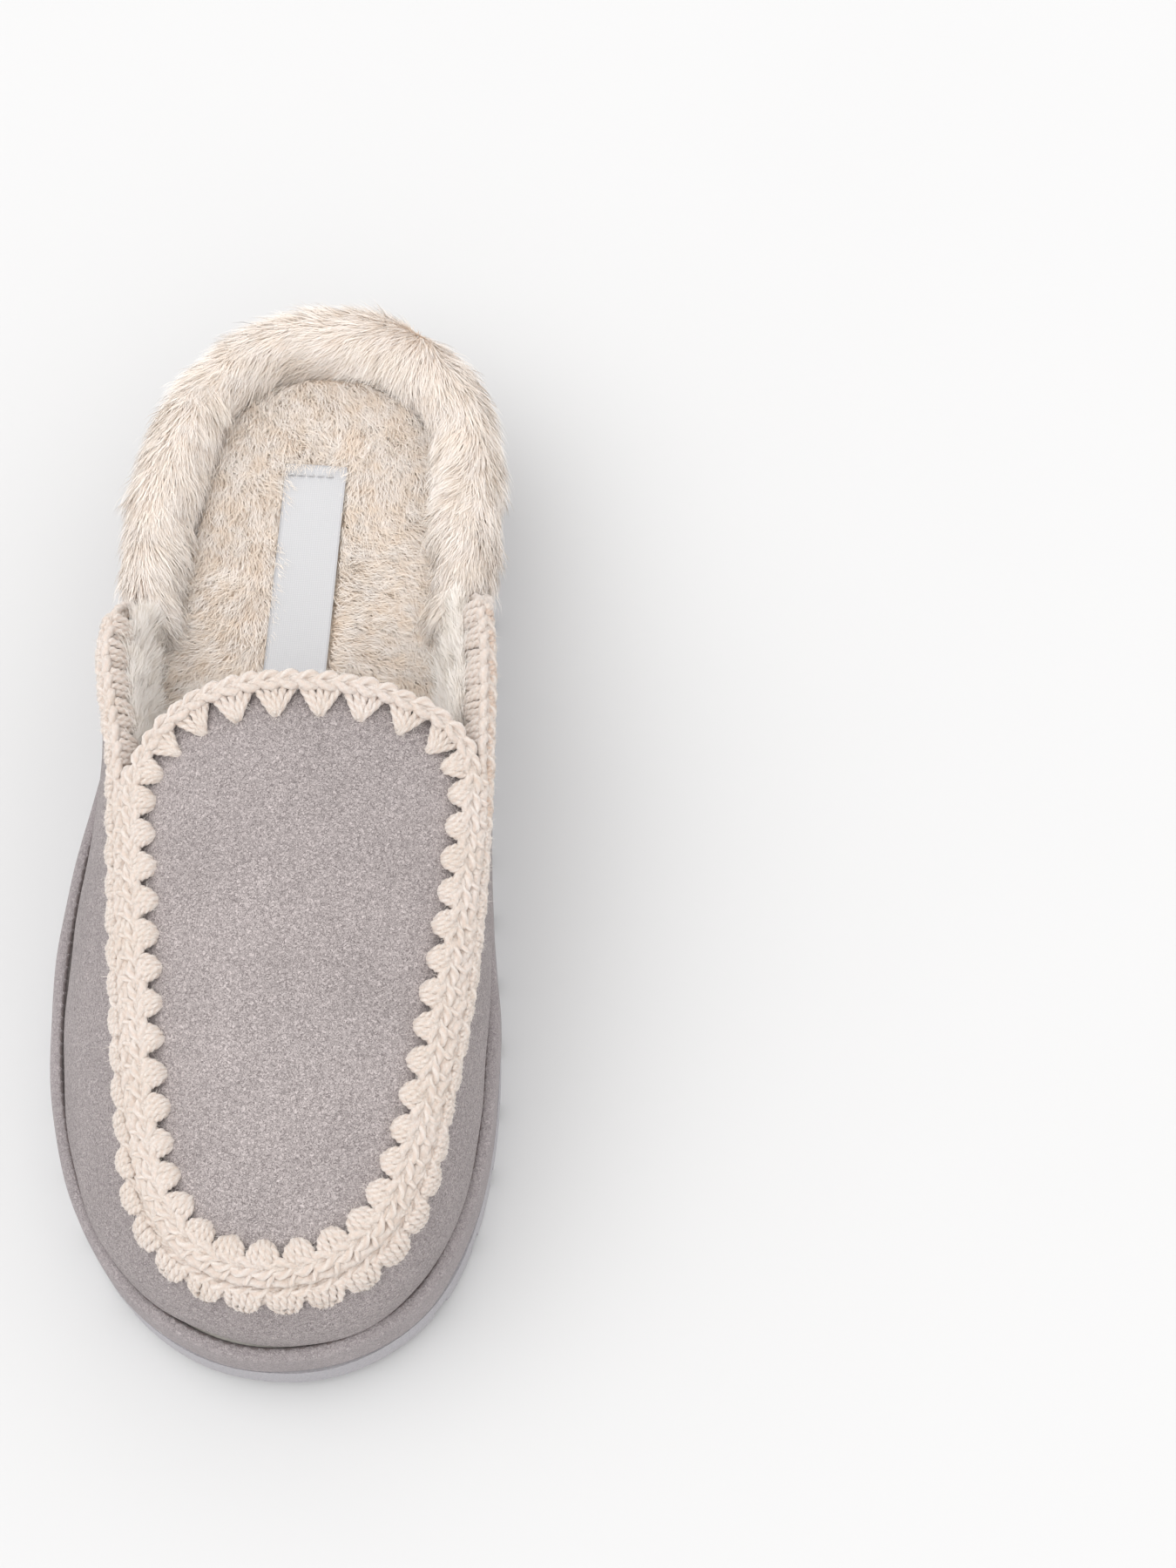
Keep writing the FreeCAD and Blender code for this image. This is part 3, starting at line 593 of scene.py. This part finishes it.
def make_apron_crochet():
    """The chain just inside the apron's edge, and the shells that reach from it over the suede."""
    s = np.linspace(0, apron_line.length, 200, endpoint=False)
    plan = apron_line.at(s) + left_of(rise(apron_line.along(s)))[:, :2] * 1.7
    ring = Spline(plan, closed=True, fine=2400)
    middles = ring.at(np.linspace(0, ring.length, 160, endpoint=False))
    chain = Spline(on_dome(middles, 1.9), closed=True, fine=2400)
    yarns = Yarns()
    braid(yarns, chain, dome_normal, 2.7)
    yarns.build("apron_chain_yarn", ["apron_chain"])

    yarns = Yarns()
    y_at = lambda v: ring.at(np.array([v]))[0][1]
    step = lambda v: 9.8 if y_at(v) > 4 else (8.3 if y_at(v) < -98 else 7.5)
    for middle, wide in places(0, ring.length, step):
        p, along = ring.at(np.array([middle])), ring.along(np.array([middle]))
        inward = left_of(rise(along))[0]
        base = on_dome(p + inward[:2] * 0.9, 0.1)
        n = dome_normal(base)[0]
        a = unit(rise(along)[0] - n * (rise(along)[0] @ n))
        d = unit(inward - n * (inward @ n))
        throat = np.clip((p[0][1] + 8) / 12, 0, 1)
        toe = np.clip((-88 - p[0][1]) / 12, 0, 1)
        depth = rng.uniform(5.9, 6.6) * throat + (rng.uniform(3.9, 4.5) + 0.7 * toe) * (1 - throat)
        shell(yarns, base[0], a, d, n, wide - 1.3 - 0.7 * (1 - throat), depth, 0.85 - 0.75 * throat,
              height=1.9 - 0.5 * throat, radius=0.94 - 0.12 * throat)
    yarns.build("apron_shell_yarn", ["apron_shells"])


class Wall:
    """The upper's wall as smooth lines of feet and tops, and the level direction into the slipper."""

    def __init__(self):
        feet = np.array([(fx, fy, edge_height(fy)) for (fx, fy), _, _ in WALL])
        tops = np.array([(tx, ty, dome(tx, ty) - 0.5 if z is None else z) for _, (tx, ty), z in WALL])
        both = Spline(np.hstack([feet, tops]), fine=1500)
        self.feet, self.tops = both.pts[:, :3], both.pts[:, 3:]
        self.s = np.concatenate([[0], np.cumsum(np.linalg.norm(np.diff(self.tops, axis=0), axis=1))])
        self.length = self.s[-1]

    def frame(self, s):
        """Foot, top, direction along and direction inwards at lengths s."""
        pick = lambda a, s: np.stack([np.interp(s, self.s, a[:, k]) for k in range(3)], -1)
        foot, top = pick(self.feet, s), pick(self.tops, s)
        low, high = np.clip(s - 1.5, 0, self.length), np.clip(s + 1.5, 0, self.length)
        ahead = pick(self.tops, high) + pick(self.feet, high)
        along = unit(ahead - pick(self.tops, low) - pick(self.feet, low))
        return foot, top, along, left_of(along)

    def face(self, s, t, offset=0.0):
        """Points on the outer face at lengths s and shares t of the height, moved out by offset."""
        foot, top, along, inward = self.frame(s)
        swell = WALL_BULGE * (1 - (2 * t - 1) ** 2)
        return foot + (top - foot) * t[:, None] - inward * (swell + offset)[:, None]


wall = Wall()


def make_wall():
    """The suede wall, with its cut upper edge and the fold where it turns under at the feather line."""
    cols = 300
    s = np.linspace(0, wall.length, cols)
    one = np.ones(cols)
    rows = []
    ripple = lambda t: 0.22 * noise3(np.column_stack([s * 1.0, np.full(cols, t * 30.0), s * 0]), 22, 5)
    for t in (0.0, 0.012, 0.03, 0.06, 0.12, 0.2, 0.3, 0.4, 0.5, 0.6, 0.7, 0.8, 0.88, 0.95, 1.0):
        tuck = -1.0 if t == 0.0 else (-0.35 if t < 0.02 else (0.0 if t < 0.05 else 0.12))
        rows.append(wall.face(s, one * t, tuck + ripple(t)))
    for t in (1.0, 0.9, 0.7, 0.5, 0.3, 0.1, 0.0):
        rows.append(wall.face(s, one * t, one * -1.4))
    verts = np.vstack(rows)
    faces = grid_faces(len(rows), cols)
    # the wall takes the darker suede, whose colour is painted shade
    build("vamp_wall_suede", verts, [faces], SHADED_WALL_SUEDE, ["vamp_wall"])


def make_apron():
    """The suede apron, a little lower at its edge and puffed just inside it."""
    rings, count, thick = 26, 240, 1.4
    s = np.linspace(0, apron_line.length, count, endpoint=False)
    inward = left_of(rise(apron_line.along(s)))[:, :2]
    edge = apron_line.at(s) + inward * 1.8
    centre = np.column_stack([np.full(count, 7.0), np.clip(edge[:, 1] * 0.82 - 8, -88, -6)])
    rows = []
    for k in range(rings):
        share = (k / (rings - 1)) ** 1.2
        plan = edge + (centre - edge) * share
        inset = np.linalg.norm(plan - edge, axis=1)
        puff = 0.55 * np.clip(inset / 7.0, 0, 1) * np.exp(-inset / 22.0) - 0.25
        soft = 0.18 * noise3(rise(plan), 24, 9)
        rows.append(on_dome(plan, puff + soft))
    top = np.vstack(rows)
    faces = [grid_faces(rings, count, close_cols=True)]
    # the cut edge and a hem underneath
    edge_z = rows[0][:, 2]
    hem = np.column_stack([edge + inward * 5, edge_z - 1.5])
    rim = np.vstack([rows[0], np.column_stack([edge, edge_z - thick]), hem])
    faces.append(grid_faces(3, count, close_cols=True, start=len(top))[:, ::-1])
    build("apron_suede", np.vstack([top, rim]), faces, UPPER, ["apron"])


def wall_chain_path():
    """The line of the wall's chain: up the back of one wing, along the wall's top and down the other."""
    r = 1.6
    foot, top, _, inward = wall.frame(np.linspace(0, wall.length, 150))
    toe = np.clip((-70 - top[:, 1:2]) / 30, 0, 1)
    rim = top + inward * (0.55 + 0.8 * toe) + UP * (r - 0.1)
    behind = np.array([0, r + 0.2, 0])
    ends = []
    for f, t in ((foot[0], top[0]), (foot[-1], top[-1])):
        third, two_thirds = f * 0.66 + t * 0.34, f * 0.33 + t * 0.67
        ends.append([f + behind + UP * (r + 1.0), third + behind, two_thirds + behind])
    return Spline(np.array([*ends[0], *rim[2:-2], *reversed(ends[1])]), fine=2600)


def wall_outward(p, s):
    """Which way the wall's chain faces: up and outwards, and backwards down the wings' ends."""
    middle = np.array([5.0, 0.0, 44.0])
    away = unit((p - middle) * np.array([0.55, 0.0, 0.0]) + UP * 18)
    back = np.clip((p[:, 1] - 40) / 8, 0, 1)[:, None]
    return unit(away * (1 - back) + np.array([0, 1.0, 0.15]) * back)


def make_wall_chain():
    """The wall's chain, and the round of yarn that binds the suede's edge under it."""
    yarns = Yarns()
    braid(yarns, wall_chain_path(), wall_outward, 3.1)
    _, top, _, inward = wall.frame(np.linspace(0.5, wall.length - 0.5, 330))
    yarns.add(top + inward * 0.5 - UP * 0.5, 2.1, turns=60, sides=14, depth=0.16, lobes=4)
    yarns.build("wall_chain_yarn", ["wall_chain"])


def make_wall_shells():
    """Shells that hang from the chain over the wall, with a second row inside each wing."""
    yarns = Yarns()
    y_top = lambda v: wall.frame(np.array([v]))[1][0][1]
    for place, wide in places(2.0, wall.length - 2.0, lambda v: 8.4 if y_top(v) < -98 else 7.6):
        middle = np.array([place])
        _, top, along, inward = (v[0] for v in wall.frame(middle))
        down = unit(wall.face(middle, np.array([0.72]))[0] - wall.face(middle, np.array([0.98]))[0])
        out = unit(np.cross(along, down))
        if out @ inward > 0:
            out = -out
        base = wall.face(middle, np.array([1.0]), -0.5)[0] + UP * 1.3
        a = unit(along - down * (along @ down))
        toe = np.clip((-78 - top[1]) / 22, 0, 1)
        depth = rng.uniform(3.0, 3.5) + 2.3 * toe
        shell(yarns, base, a, down, out, wide - 2.0, depth, 0.85, height=0.9 + 0.4 * toe, radius=0.92)
        if top[1] > 2:
            inner = top + inward * 1.2 + UP * 1.6
            slope = unit(inward * 0.85 - UP * 0.75)
            shell(yarns, inner, a, slope, unit(inward * 0.75 + UP * 0.85), wide - 0.8, 5.6, 0.8, height=1.0)
    yarns.build("wall_shell_yarn", ["wall_shells"])


def make_joining_yarn():
    """The lacing between the two chains, and the chains' inner loops, which close the gap under it."""
    yarns = Yarns()
    count = 74
    for i in range(count):
        s = np.array([apron_line.length * (i + 0.5) / count])
        p, a = apron_line.at(s)[0], apron_line.along(s)[0]
        if p[1] > -4:
            continue
        n = left_of(rise(a))
        t = np.linspace(-1, 1, 7)[:, None]
        middle = np.array([p[0], p[1], dome(p[0], p[1]) + 1.7])
        line = middle + n * t * 1.7 + rise(a) * t * 0.9 + UP * (0.7 * (1 - t**2))
        yarns.add(line, 0.62, turns=0.8, sides=8, phase=rng.uniform(0, 6))
    s = np.linspace(0, apron_line.length, 261)
    low = apron_line.at(s)
    path = on_dome(low - left_of(rise(apron_line.along(s)))[:, :2] * 0.5, 0.9)
    front = low[:, 1] < -2
    runs = np.split(path[front], np.flatnonzero(np.diff(np.flatnonzero(front)) > 1) + 1)
    for run in runs:
        if len(run) > 3:
            yarns.add(run, 1.45, turns=len(run) * 0.25, sides=12, depth=0.2)
    yarns.build("joining_yarn", ["joining_stitches"])


# ---- fur ----------------------------------------------------------------------------------------------


def fur(name, points, normals, comb, length, width, material, replaces=(), *, curl, lay, clump, seed):
    """Flat tapered fibres: each rises, bends over along comb and gathers with its neighbours."""
    gen = np.random.default_rng(seed)
    n, segments = len(points), 3
    lengths = length * gen.uniform(0.7, 1.15, n)
    comb = unit(comb - normals * np.sum(comb * normals, axis=1, keepdims=True))
    side = np.cross(normals, comb)
    lean = noise3(points, clump * 4, seed + 1)[:, None] * 0.45 + gen.normal(0, curl, (n, 1))
    heading = unit(comb + side * lean)
    rising = 1 - lay + 0.22 * noise3(points, clump * 3, seed + 2)
    height = np.clip(rising + gen.normal(0, 0.09, n), 0.05, 1.0)
    # clumps: tips drift to the middle of a wavy cell
    drift = np.column_stack([noise3(points, clump, seed + 3 + k) for k in range(3)]) * 0.16 * length
    rows, tips = [], []
    steps = np.linspace(0, 1, segments + 1)
    facing = unit(np.cross(heading, normals) + gen.normal(0, 0.35, (n, 3)))
    wiggle = gen.normal(0, curl * 0.22, (n, 3)) * length
    for t in steps:
        up = normals * (lengths * height * (1 - (1 - t) ** 2.2) * 0.9)[:, None]
        over = heading * (lengths * (1 - height * 0.5) * t**1.25)[:, None]
        centre = points + up + over + drift * t**1.5 + wiggle * (t * (1 - t) * 1.2 + 0.4 * t**2)
        half = facing * (0.5 * width * (1.0 - 0.75 * t))
        rows += [centre - half, centre + half] if t < 1 else [centre]
        tips += [np.full(n, t)] * (2 if t < 1 else 1)
    per = 2 * segments + 1
    verts = np.stack(rows, 1).reshape(-1, 3)
    first = (np.arange(n) * per)[:, None]
    quads = [first + np.array([[2 * k, 2 * k + 1, 2 * k + 3, 2 * k + 2]]) for k in range(segments - 1)]
    tri = first + np.array([[per - 3, per - 2, per - 1]])
    own = np.repeat(gen.random(n), per)
    flat = np.cross(heading, facing)
    soft = unit(normals + 0.3 * unit(flat) * np.sign(np.sum(flat * normals, axis=1, keepdims=True)))
    build(name, verts, [tri, np.vstack(quads)], material, replaces,
          normals=np.repeat(soft, per, 0), attributes={"tip": np.stack(tips, 1).ravel(), "own": own})


# The heel roll's line in plan, and the share of its full width there.
COLLAR = (
    (-29.5, 43, 0.60), (-31.8, 56, 0.86), (-30, 74, 1.0), (-26.3, 90, 1.0), (-20.6, 103, 1.0),
    (-12, 112, 1.0), (-2, 116.8, 1.0), (8, 117.8, 1.0), (19, 116.8, 1.0), (30, 111, 1.0), (38, 101, 1.0),
    (41.2, 88, 1.0), (41.8, 74, 1.0), (41, 57, 0.86), (38, 43, 0.60),
)


def make_collar():
    """The heel roll: its padded core as a smooth tube, with long silky pile combed along it."""
    line = Spline([(x, y) for x, y, _ in COLLAR])
    marks = [np.argmin(np.linalg.norm(line.pts - np.array([x, y]), axis=1)) for x, y, _ in COLLAR]
    s_marks = line.s[marks]
    rows, cols = 120, 28
    s = np.linspace(0, line.length, rows)
    share = np.interp(s, s_marks, [c[2] for c in COLLAR])
    near_end = 1 - np.clip(np.minimum(s, line.length - s) / 6.0, 0, 1)
    round_end = np.sqrt(np.clip(1 - near_end**2, 0.02, 1))
    p, along = line.at(s), line.along(s)
    across = -left_of(rise(along))
    width, tall = 16.2, 19
    half_w = (width / 2 - 2.1) * share * round_end
    half_h = (tall / 2) * (0.5 + 0.5 * share)
    mid = edge_height(p[:, 1]) + 0.9 + half_h
    half_h = (half_h - 1.9) * round_end
    angle = np.linspace(0, 2 * math.pi, cols, endpoint=False)
    centre = np.column_stack([p, mid])
    lumps = 0.5 * noise3(centre, 26, 21)
    grid = (centre[:, None, :] + across[:, None, :] * ((half_w + lumps)[:, None] * np.cos(angle))[..., None]
            + UP * (half_h[:, None] * np.sin(angle))[..., None])
    faces = grid_faces(rows, cols, close_cols=True)
    core = build("heel_roll_ground", grid.reshape(-1, 3), [faces], PILE_GROUND)
    # fibres, spread evenly by area
    count = 108000
    area = np.sum(np.linalg.norm(np.diff(grid, axis=1, append=grid[:, :1]), axis=2), axis=1)
    cdf = np.cumsum(area) / area.sum()
    row = np.interp(rng.random(count), cdf, np.arange(rows))
    turn = rng.random(count) * 2 * math.pi
    keep = np.sin(turn) > -0.75
    row, turn = row[keep], turn[keep]
    pick = lambda values: np.interp(row, np.arange(rows), values)
    at = lambda values: np.stack([pick(values[:, k]) for k in range(values.shape[1])], -1)
    c, acr = at(centre), unit(at(across))
    w, h = pick(half_w + lumps), pick(half_h)
    points = c + acr * (w * np.cos(turn))[:, None] + UP * (h * np.sin(turn))[:, None]
    normals = unit(acr * (np.cos(turn) / np.maximum(w, 1))[:, None]
                   + UP * (np.sin(turn) / np.maximum(h, 1))[:, None])
    # the pile parts at the back, towards the big toe's side, and lies forwards and outwards from there
    tangent = unit(at(rise(along)))
    parting = line.length * 0.60
    direction = np.tanh((row / (rows - 1) * line.length - parting) / 16.0)
    sideways = 0.30 + 0.30 * np.cos(turn) + 0.5 * (1 - np.abs(direction))
    comb = (tangent * direction[:, None] + acr * sideways[:, None]
            - UP * 0.25 * np.abs(np.cos(turn))[:, None])
    third = len(points) // 3
    for k, (a, b) in enumerate(((0, third), (third, 2 * third), (2 * third, len(points)))):
        fur(f"heel_roll_fur_{k + 1}", points[a:b], normals[a:b], comb[a:b], 8.0, 0.21, COLLAR_PILE,
            ["heel_collar"], curl=0.16, lay=0.81, clump=5.0, seed=31 + k)


def make_footbed():
    """The footbed's ground, and a shorter pile that is trodden flat in whorls."""
    verts, tris = surface_of("footbed_fur")
    build("footbed_ground", verts - UP * 1.3, [tris], PILE_GROUND)
    points, normals = scatter(verts, tris, 330000, lambda p, n: n[:, 2] > 0.6)
    rel = points[:, :2] - np.array([-6.0, 14.0])
    down, cross = rel @ LABEL_AXIS[:2], rel @ LABEL_ACROSS[:2]
    under_label = (down > -1) & (down < 72.6) & (cross > 0.3) & (cross < 14.3)
    keep = np.flatnonzero(~under_label & (points[:, 1] > -30))[:78000]
    points, normals = points[keep], normals[keep]
    swirl = noise3(points, 60, 51)
    off_middle = points[:, 0] - 6
    angle = -1.35 + 0.7 * swirl + 0.5 * np.sign(off_middle) * np.clip(np.abs(off_middle) / 18, 0, 1)
    comb = np.column_stack([np.cos(angle), np.sin(angle), np.zeros(len(points))])
    points = points - UP * 1.2
    half = len(points) // 2
    for k, (a, b) in enumerate(((0, half), (half, len(points)))):
        fur(f"footbed_pile_{k + 1}", points[a:b], normals[a:b], comb[a:b], 5.4, 0.21, FOOTBED_PILE,
            ["footbed_fur"], curl=0.45, lay=0.60, clump=3.6, seed=61 + k)


def make_wall_lining():
    """Pile inside the wings and the wall, deepest low down in the wings."""
    s = rng.random(70000) * wall.length
    t = rng.uniform(0.1, 0.93, len(s))
    y = wall.frame(s)[1][:, 1]
    keep = (y > -45) | (rng.random(len(s)) < 0.10)
    s, t = s[keep], t[keep]
    _, top, _, inward = wall.frame(s)
    wing = np.clip((top[:, 1] + 8) / 14, 0, 1)
    points = wall.face(s, t, -(4.5 + (1.0 + 3.4 * wing) * (1 - t**2)))
    facing = unit(inward + UP * (0.15 + 0.75 * wing * t)[:, None])
    comb = UP * (1.6 * t - 0.9)[:, None] + np.array([0.0, 0.6, 0.0])
    # the ground, which turns in to meet the suede along its edges and at both wing ends
    cols = 162
    ss = np.concatenate([[0.3], np.linspace(0.5, wall.length - 0.5, cols - 2), [wall.length - 0.3]])
    full = np.concatenate([[0.0], np.ones(cols - 2), [0.0]])
    wide = np.clip((wall.frame(ss)[1][:, 1] + 8) / 14, 0, 1)
    rows = []
    for share, depth in ((0.06, 0.0), (0.06, 1.0), (0.2, 1.0), (0.35, 1.0), (0.5, 1.0), (0.65, 1.0),
                         (0.8, 1.0), (0.92, 1.0), (0.95, 0.0)):
        swell = 2.9 + (1.0 + 3.4 * wide) * (1 - share**2)
        rows.append(wall.face(ss, np.full(cols, share), -1.3 - swell * depth * full))
    build("wall_lining_ground", np.vstack(rows), [grid_faces(len(rows), cols)], PILE_GROUND)
    # the paler lining pile is painted light against the wings' shade
    fur("wall_lining_fur", points, facing, comb, 7.0, 0.24, BRIGHTENED_LINING_PILE,
        ["vamp_wall_lining"], curl=0.35, lay=0.5, clump=3.0, seed=71)


def make_apron_lining():
    """Pile under the apron's mouth."""
    verts, tris = surface_of("apron_lining")
    points, normals = scatter(verts, tris, 40000, lambda p, n: (p[:, 1] > -30) & (n[:, 2] < 0.5))
    points, normals = points[:16000], normals[:16000]
    comb = np.tile(np.array([[0.0, 1.0, -0.6]]), (len(points), 1))
    build("apron_lining_ground", verts, [tris], PILE_GROUND)
    fur("apron_lining_fur", points, normals, comb, 4.0, 0.26, BRIGHTENED_LINING_PILE,
        ["apron_lining"], curl=0.35, lay=0.6, clump=3.0, seed=81)


def make_yarn_fuzz():
    """Loose fibre ends that stand off the crochet, as many on each piece at most."""
    most = 19000
    points, normals = [], []
    for source in ("apron_chain_yarn", "apron_shell_yarn", "wall_chain_yarn", "wall_shell_yarn"):
        mesh = bpy.data.objects[source].data
        co = np.zeros(len(mesh.vertices) * 3)
        no = np.zeros(len(mesh.vertices) * 3)
        mesh.vertices.foreach_get("co", co)
        mesh.vertices.foreach_get("normal", no)
        co, no = co.reshape(-1, 3) / MM, no.reshape(-1, 3)
        pick = rng.choice(len(co), size=min(most, len(co)), replace=False)
        pick = pick[no[pick, 2] > -0.3]
        points.append(co[pick])
        normals.append(no[pick])
    points, normals = np.vstack(points), unit(np.vstack(normals))
    comb = unit(rng.normal(size=points.shape))
    order = rng.permutation(len(points))
    for k, pick in enumerate(np.array_split(order, 2)):
        fur(f"yarn_fuzz_{k + 1}", points[pick], normals[pick], comb[pick], 2.7, 0.10, YARN_FUZZ,
            curl=0.9, lay=0.5, clump=2.0, seed=91 + k)


def make_label():
    """The woven label: a ribbon that follows the footbed, drawn down where it is sewn near the heel end."""
    length, width, thick = 72, 14.5, 0.45
    start = np.array([-6.1, 14.3, 0])
    rows, cols = 60, 14
    v = np.linspace(0, length, rows)
    u = np.linspace(0, width, cols)
    top = []
    for y in v:
        p = start + LABEL_AXIS * y + LABEL_ACROSS * u[:, None]
        wave = 0.25 * math.sin(y / 9.0 + 0.6)
        z = edge_height(p[:, 1]) + STACK + 1.1 + wave + 0.12 * np.sin(u / 3.0 + y / 14)
        z = z - 0.55 * np.exp(-(((length - y) - 3.0) / 1.1) ** 2)
        top.append(np.column_stack([p[:, 0], p[:, 1], z]))
    top = np.array(top)
    under = top - UP * thick
    verts = np.vstack([top.reshape(-1, 3), under.reshape(-1, 3)])
    n = rows * cols
    faces = [grid_faces(rows, cols)[:, ::-1], grid_faces(rows, cols, start=n)]
    rim = [r * cols for r in range(rows)] + [(rows - 1) * cols + c for c in range(1, cols)]
    rim += [r * cols + cols - 1 for r in range(rows - 2, -1, -1)] + list(range(cols - 2, 0, -1))
    rim = np.array(rim)
    nxt = np.roll(rim, -1)
    faces.append(np.column_stack([rim, nxt, nxt + n, rim + n]))
    build("woven_label", verts, faces, LABEL, ["label"])
    sewn = start + LABEL_AXIS * 69.2
    line = Spline(np.array([sewn + LABEL_ACROSS * x for x in (0.5, 4, 7, 10, 14.0)])[:, :2])
    dashes("label_sewing", line, lambda p: edge_height(p[:, 1]) + STACK + 1.3, 2.25, 0.75, 0.24,
           WHITE_THREAD, ["label_stitches"], dip=0.4)


def make_feather_seam():
    """The row of stitches that joins the upper to the platform; their very dark thread also stands in for
    the shade in the seam's groove.
    """
    s = np.linspace(0, sole.length, 120, endpoint=False)
    inward = left_of(rise(sole.along(s)))[:, :2]
    seam = Spline(sole.at(s) + inward * 2.75, closed=True, fine=2400)
    dashes("feather_seam", seam, lambda p: edge_height(p[:, 1]) - 0.35, 3.0, 0.5, 0.42, SEAM_THREAD_AND_SHADE,
           ["seam_stitches"], dip=0.35)


make_platform()
make_wall()
make_apron()
make_apron_crochet()
make_wall_chain()
make_wall_shells()
make_joining_yarn()
make_collar()
make_footbed()
make_wall_lining()
make_apron_lining()
make_yarn_fuzz()
make_label()
make_feather_seam()


# ---- light, floor and camera --------------------------------------------------------------------------


def plain(name, colour):
    """Matt paper with the faintest unevenness."""
    m = Mat(name, 0.95, Specular_IOR_Level=0.1)
    n = m.noise(60, 2.0)
    return m.set(Base_Color=m.ramp(n, ((0.3, tuple(c * 0.995 for c in colour)), (0.7, colour))))


def make_stage():
    """The pale floor and the soft light that comes from all round."""
    mesh = bpy.data.meshes.new("floor")
    r = 4.0
    mesh.from_pydata([(-r, -r, 0), (r, -r, 0), (r, r, 0), (-r, r, 0)], [], [(0, 1, 2, 3)])
    floor = bpy.data.objects.new("floor", mesh)
    bpy.context.scene.collection.objects.link(floor)
    mesh.materials.append(plain("floor", (0.645, 0.645, 0.647)))
    world = bpy.data.worlds.new("studio")
    bpy.context.scene.world = world
    world.use_nodes = True
    world.node_tree.nodes["Background"].inputs["Color"].default_value = (1.0, 0.995, 0.99, 1)
    world.node_tree.nodes["Background"].inputs["Strength"].default_value = 1.22


def make_key():
    """One very broad soft source, high on the outer side."""
    lamp = bpy.data.lights.new("key", "SUN")
    lamp.energy, lamp.angle = 1.0, math.radians(60)
    thing = bpy.data.objects.new("key", lamp)
    thing.rotation_euler = Vector((0.46, 0.08, -1.0)).to_track_quat("-Z", "Y").to_euler()
    bpy.context.scene.collection.objects.link(thing)


def make_camera():
    """A long lens, high in front of the toe."""
    camera = bpy.data.cameras.new("camera")
    camera.sensor_width, camera.sensor_fit, camera.lens = 36.0, "AUTO", 76.0
    camera.clip_end = 50
    thing = bpy.data.objects.new("camera", camera)
    thing.location = (0.0732, -0.2787, 0.7407)
    forward = Vector((-0.00327, 0.37459, -0.92718))
    thing.rotation_euler = forward.to_track_quat("-Z", "Y").to_euler()
    bpy.context.scene.collection.objects.link(thing)
    bpy.context.scene.camera = thing


make_stage()
make_key()
make_camera()
bpy.context.scene.view_settings.view_transform = "Standard"
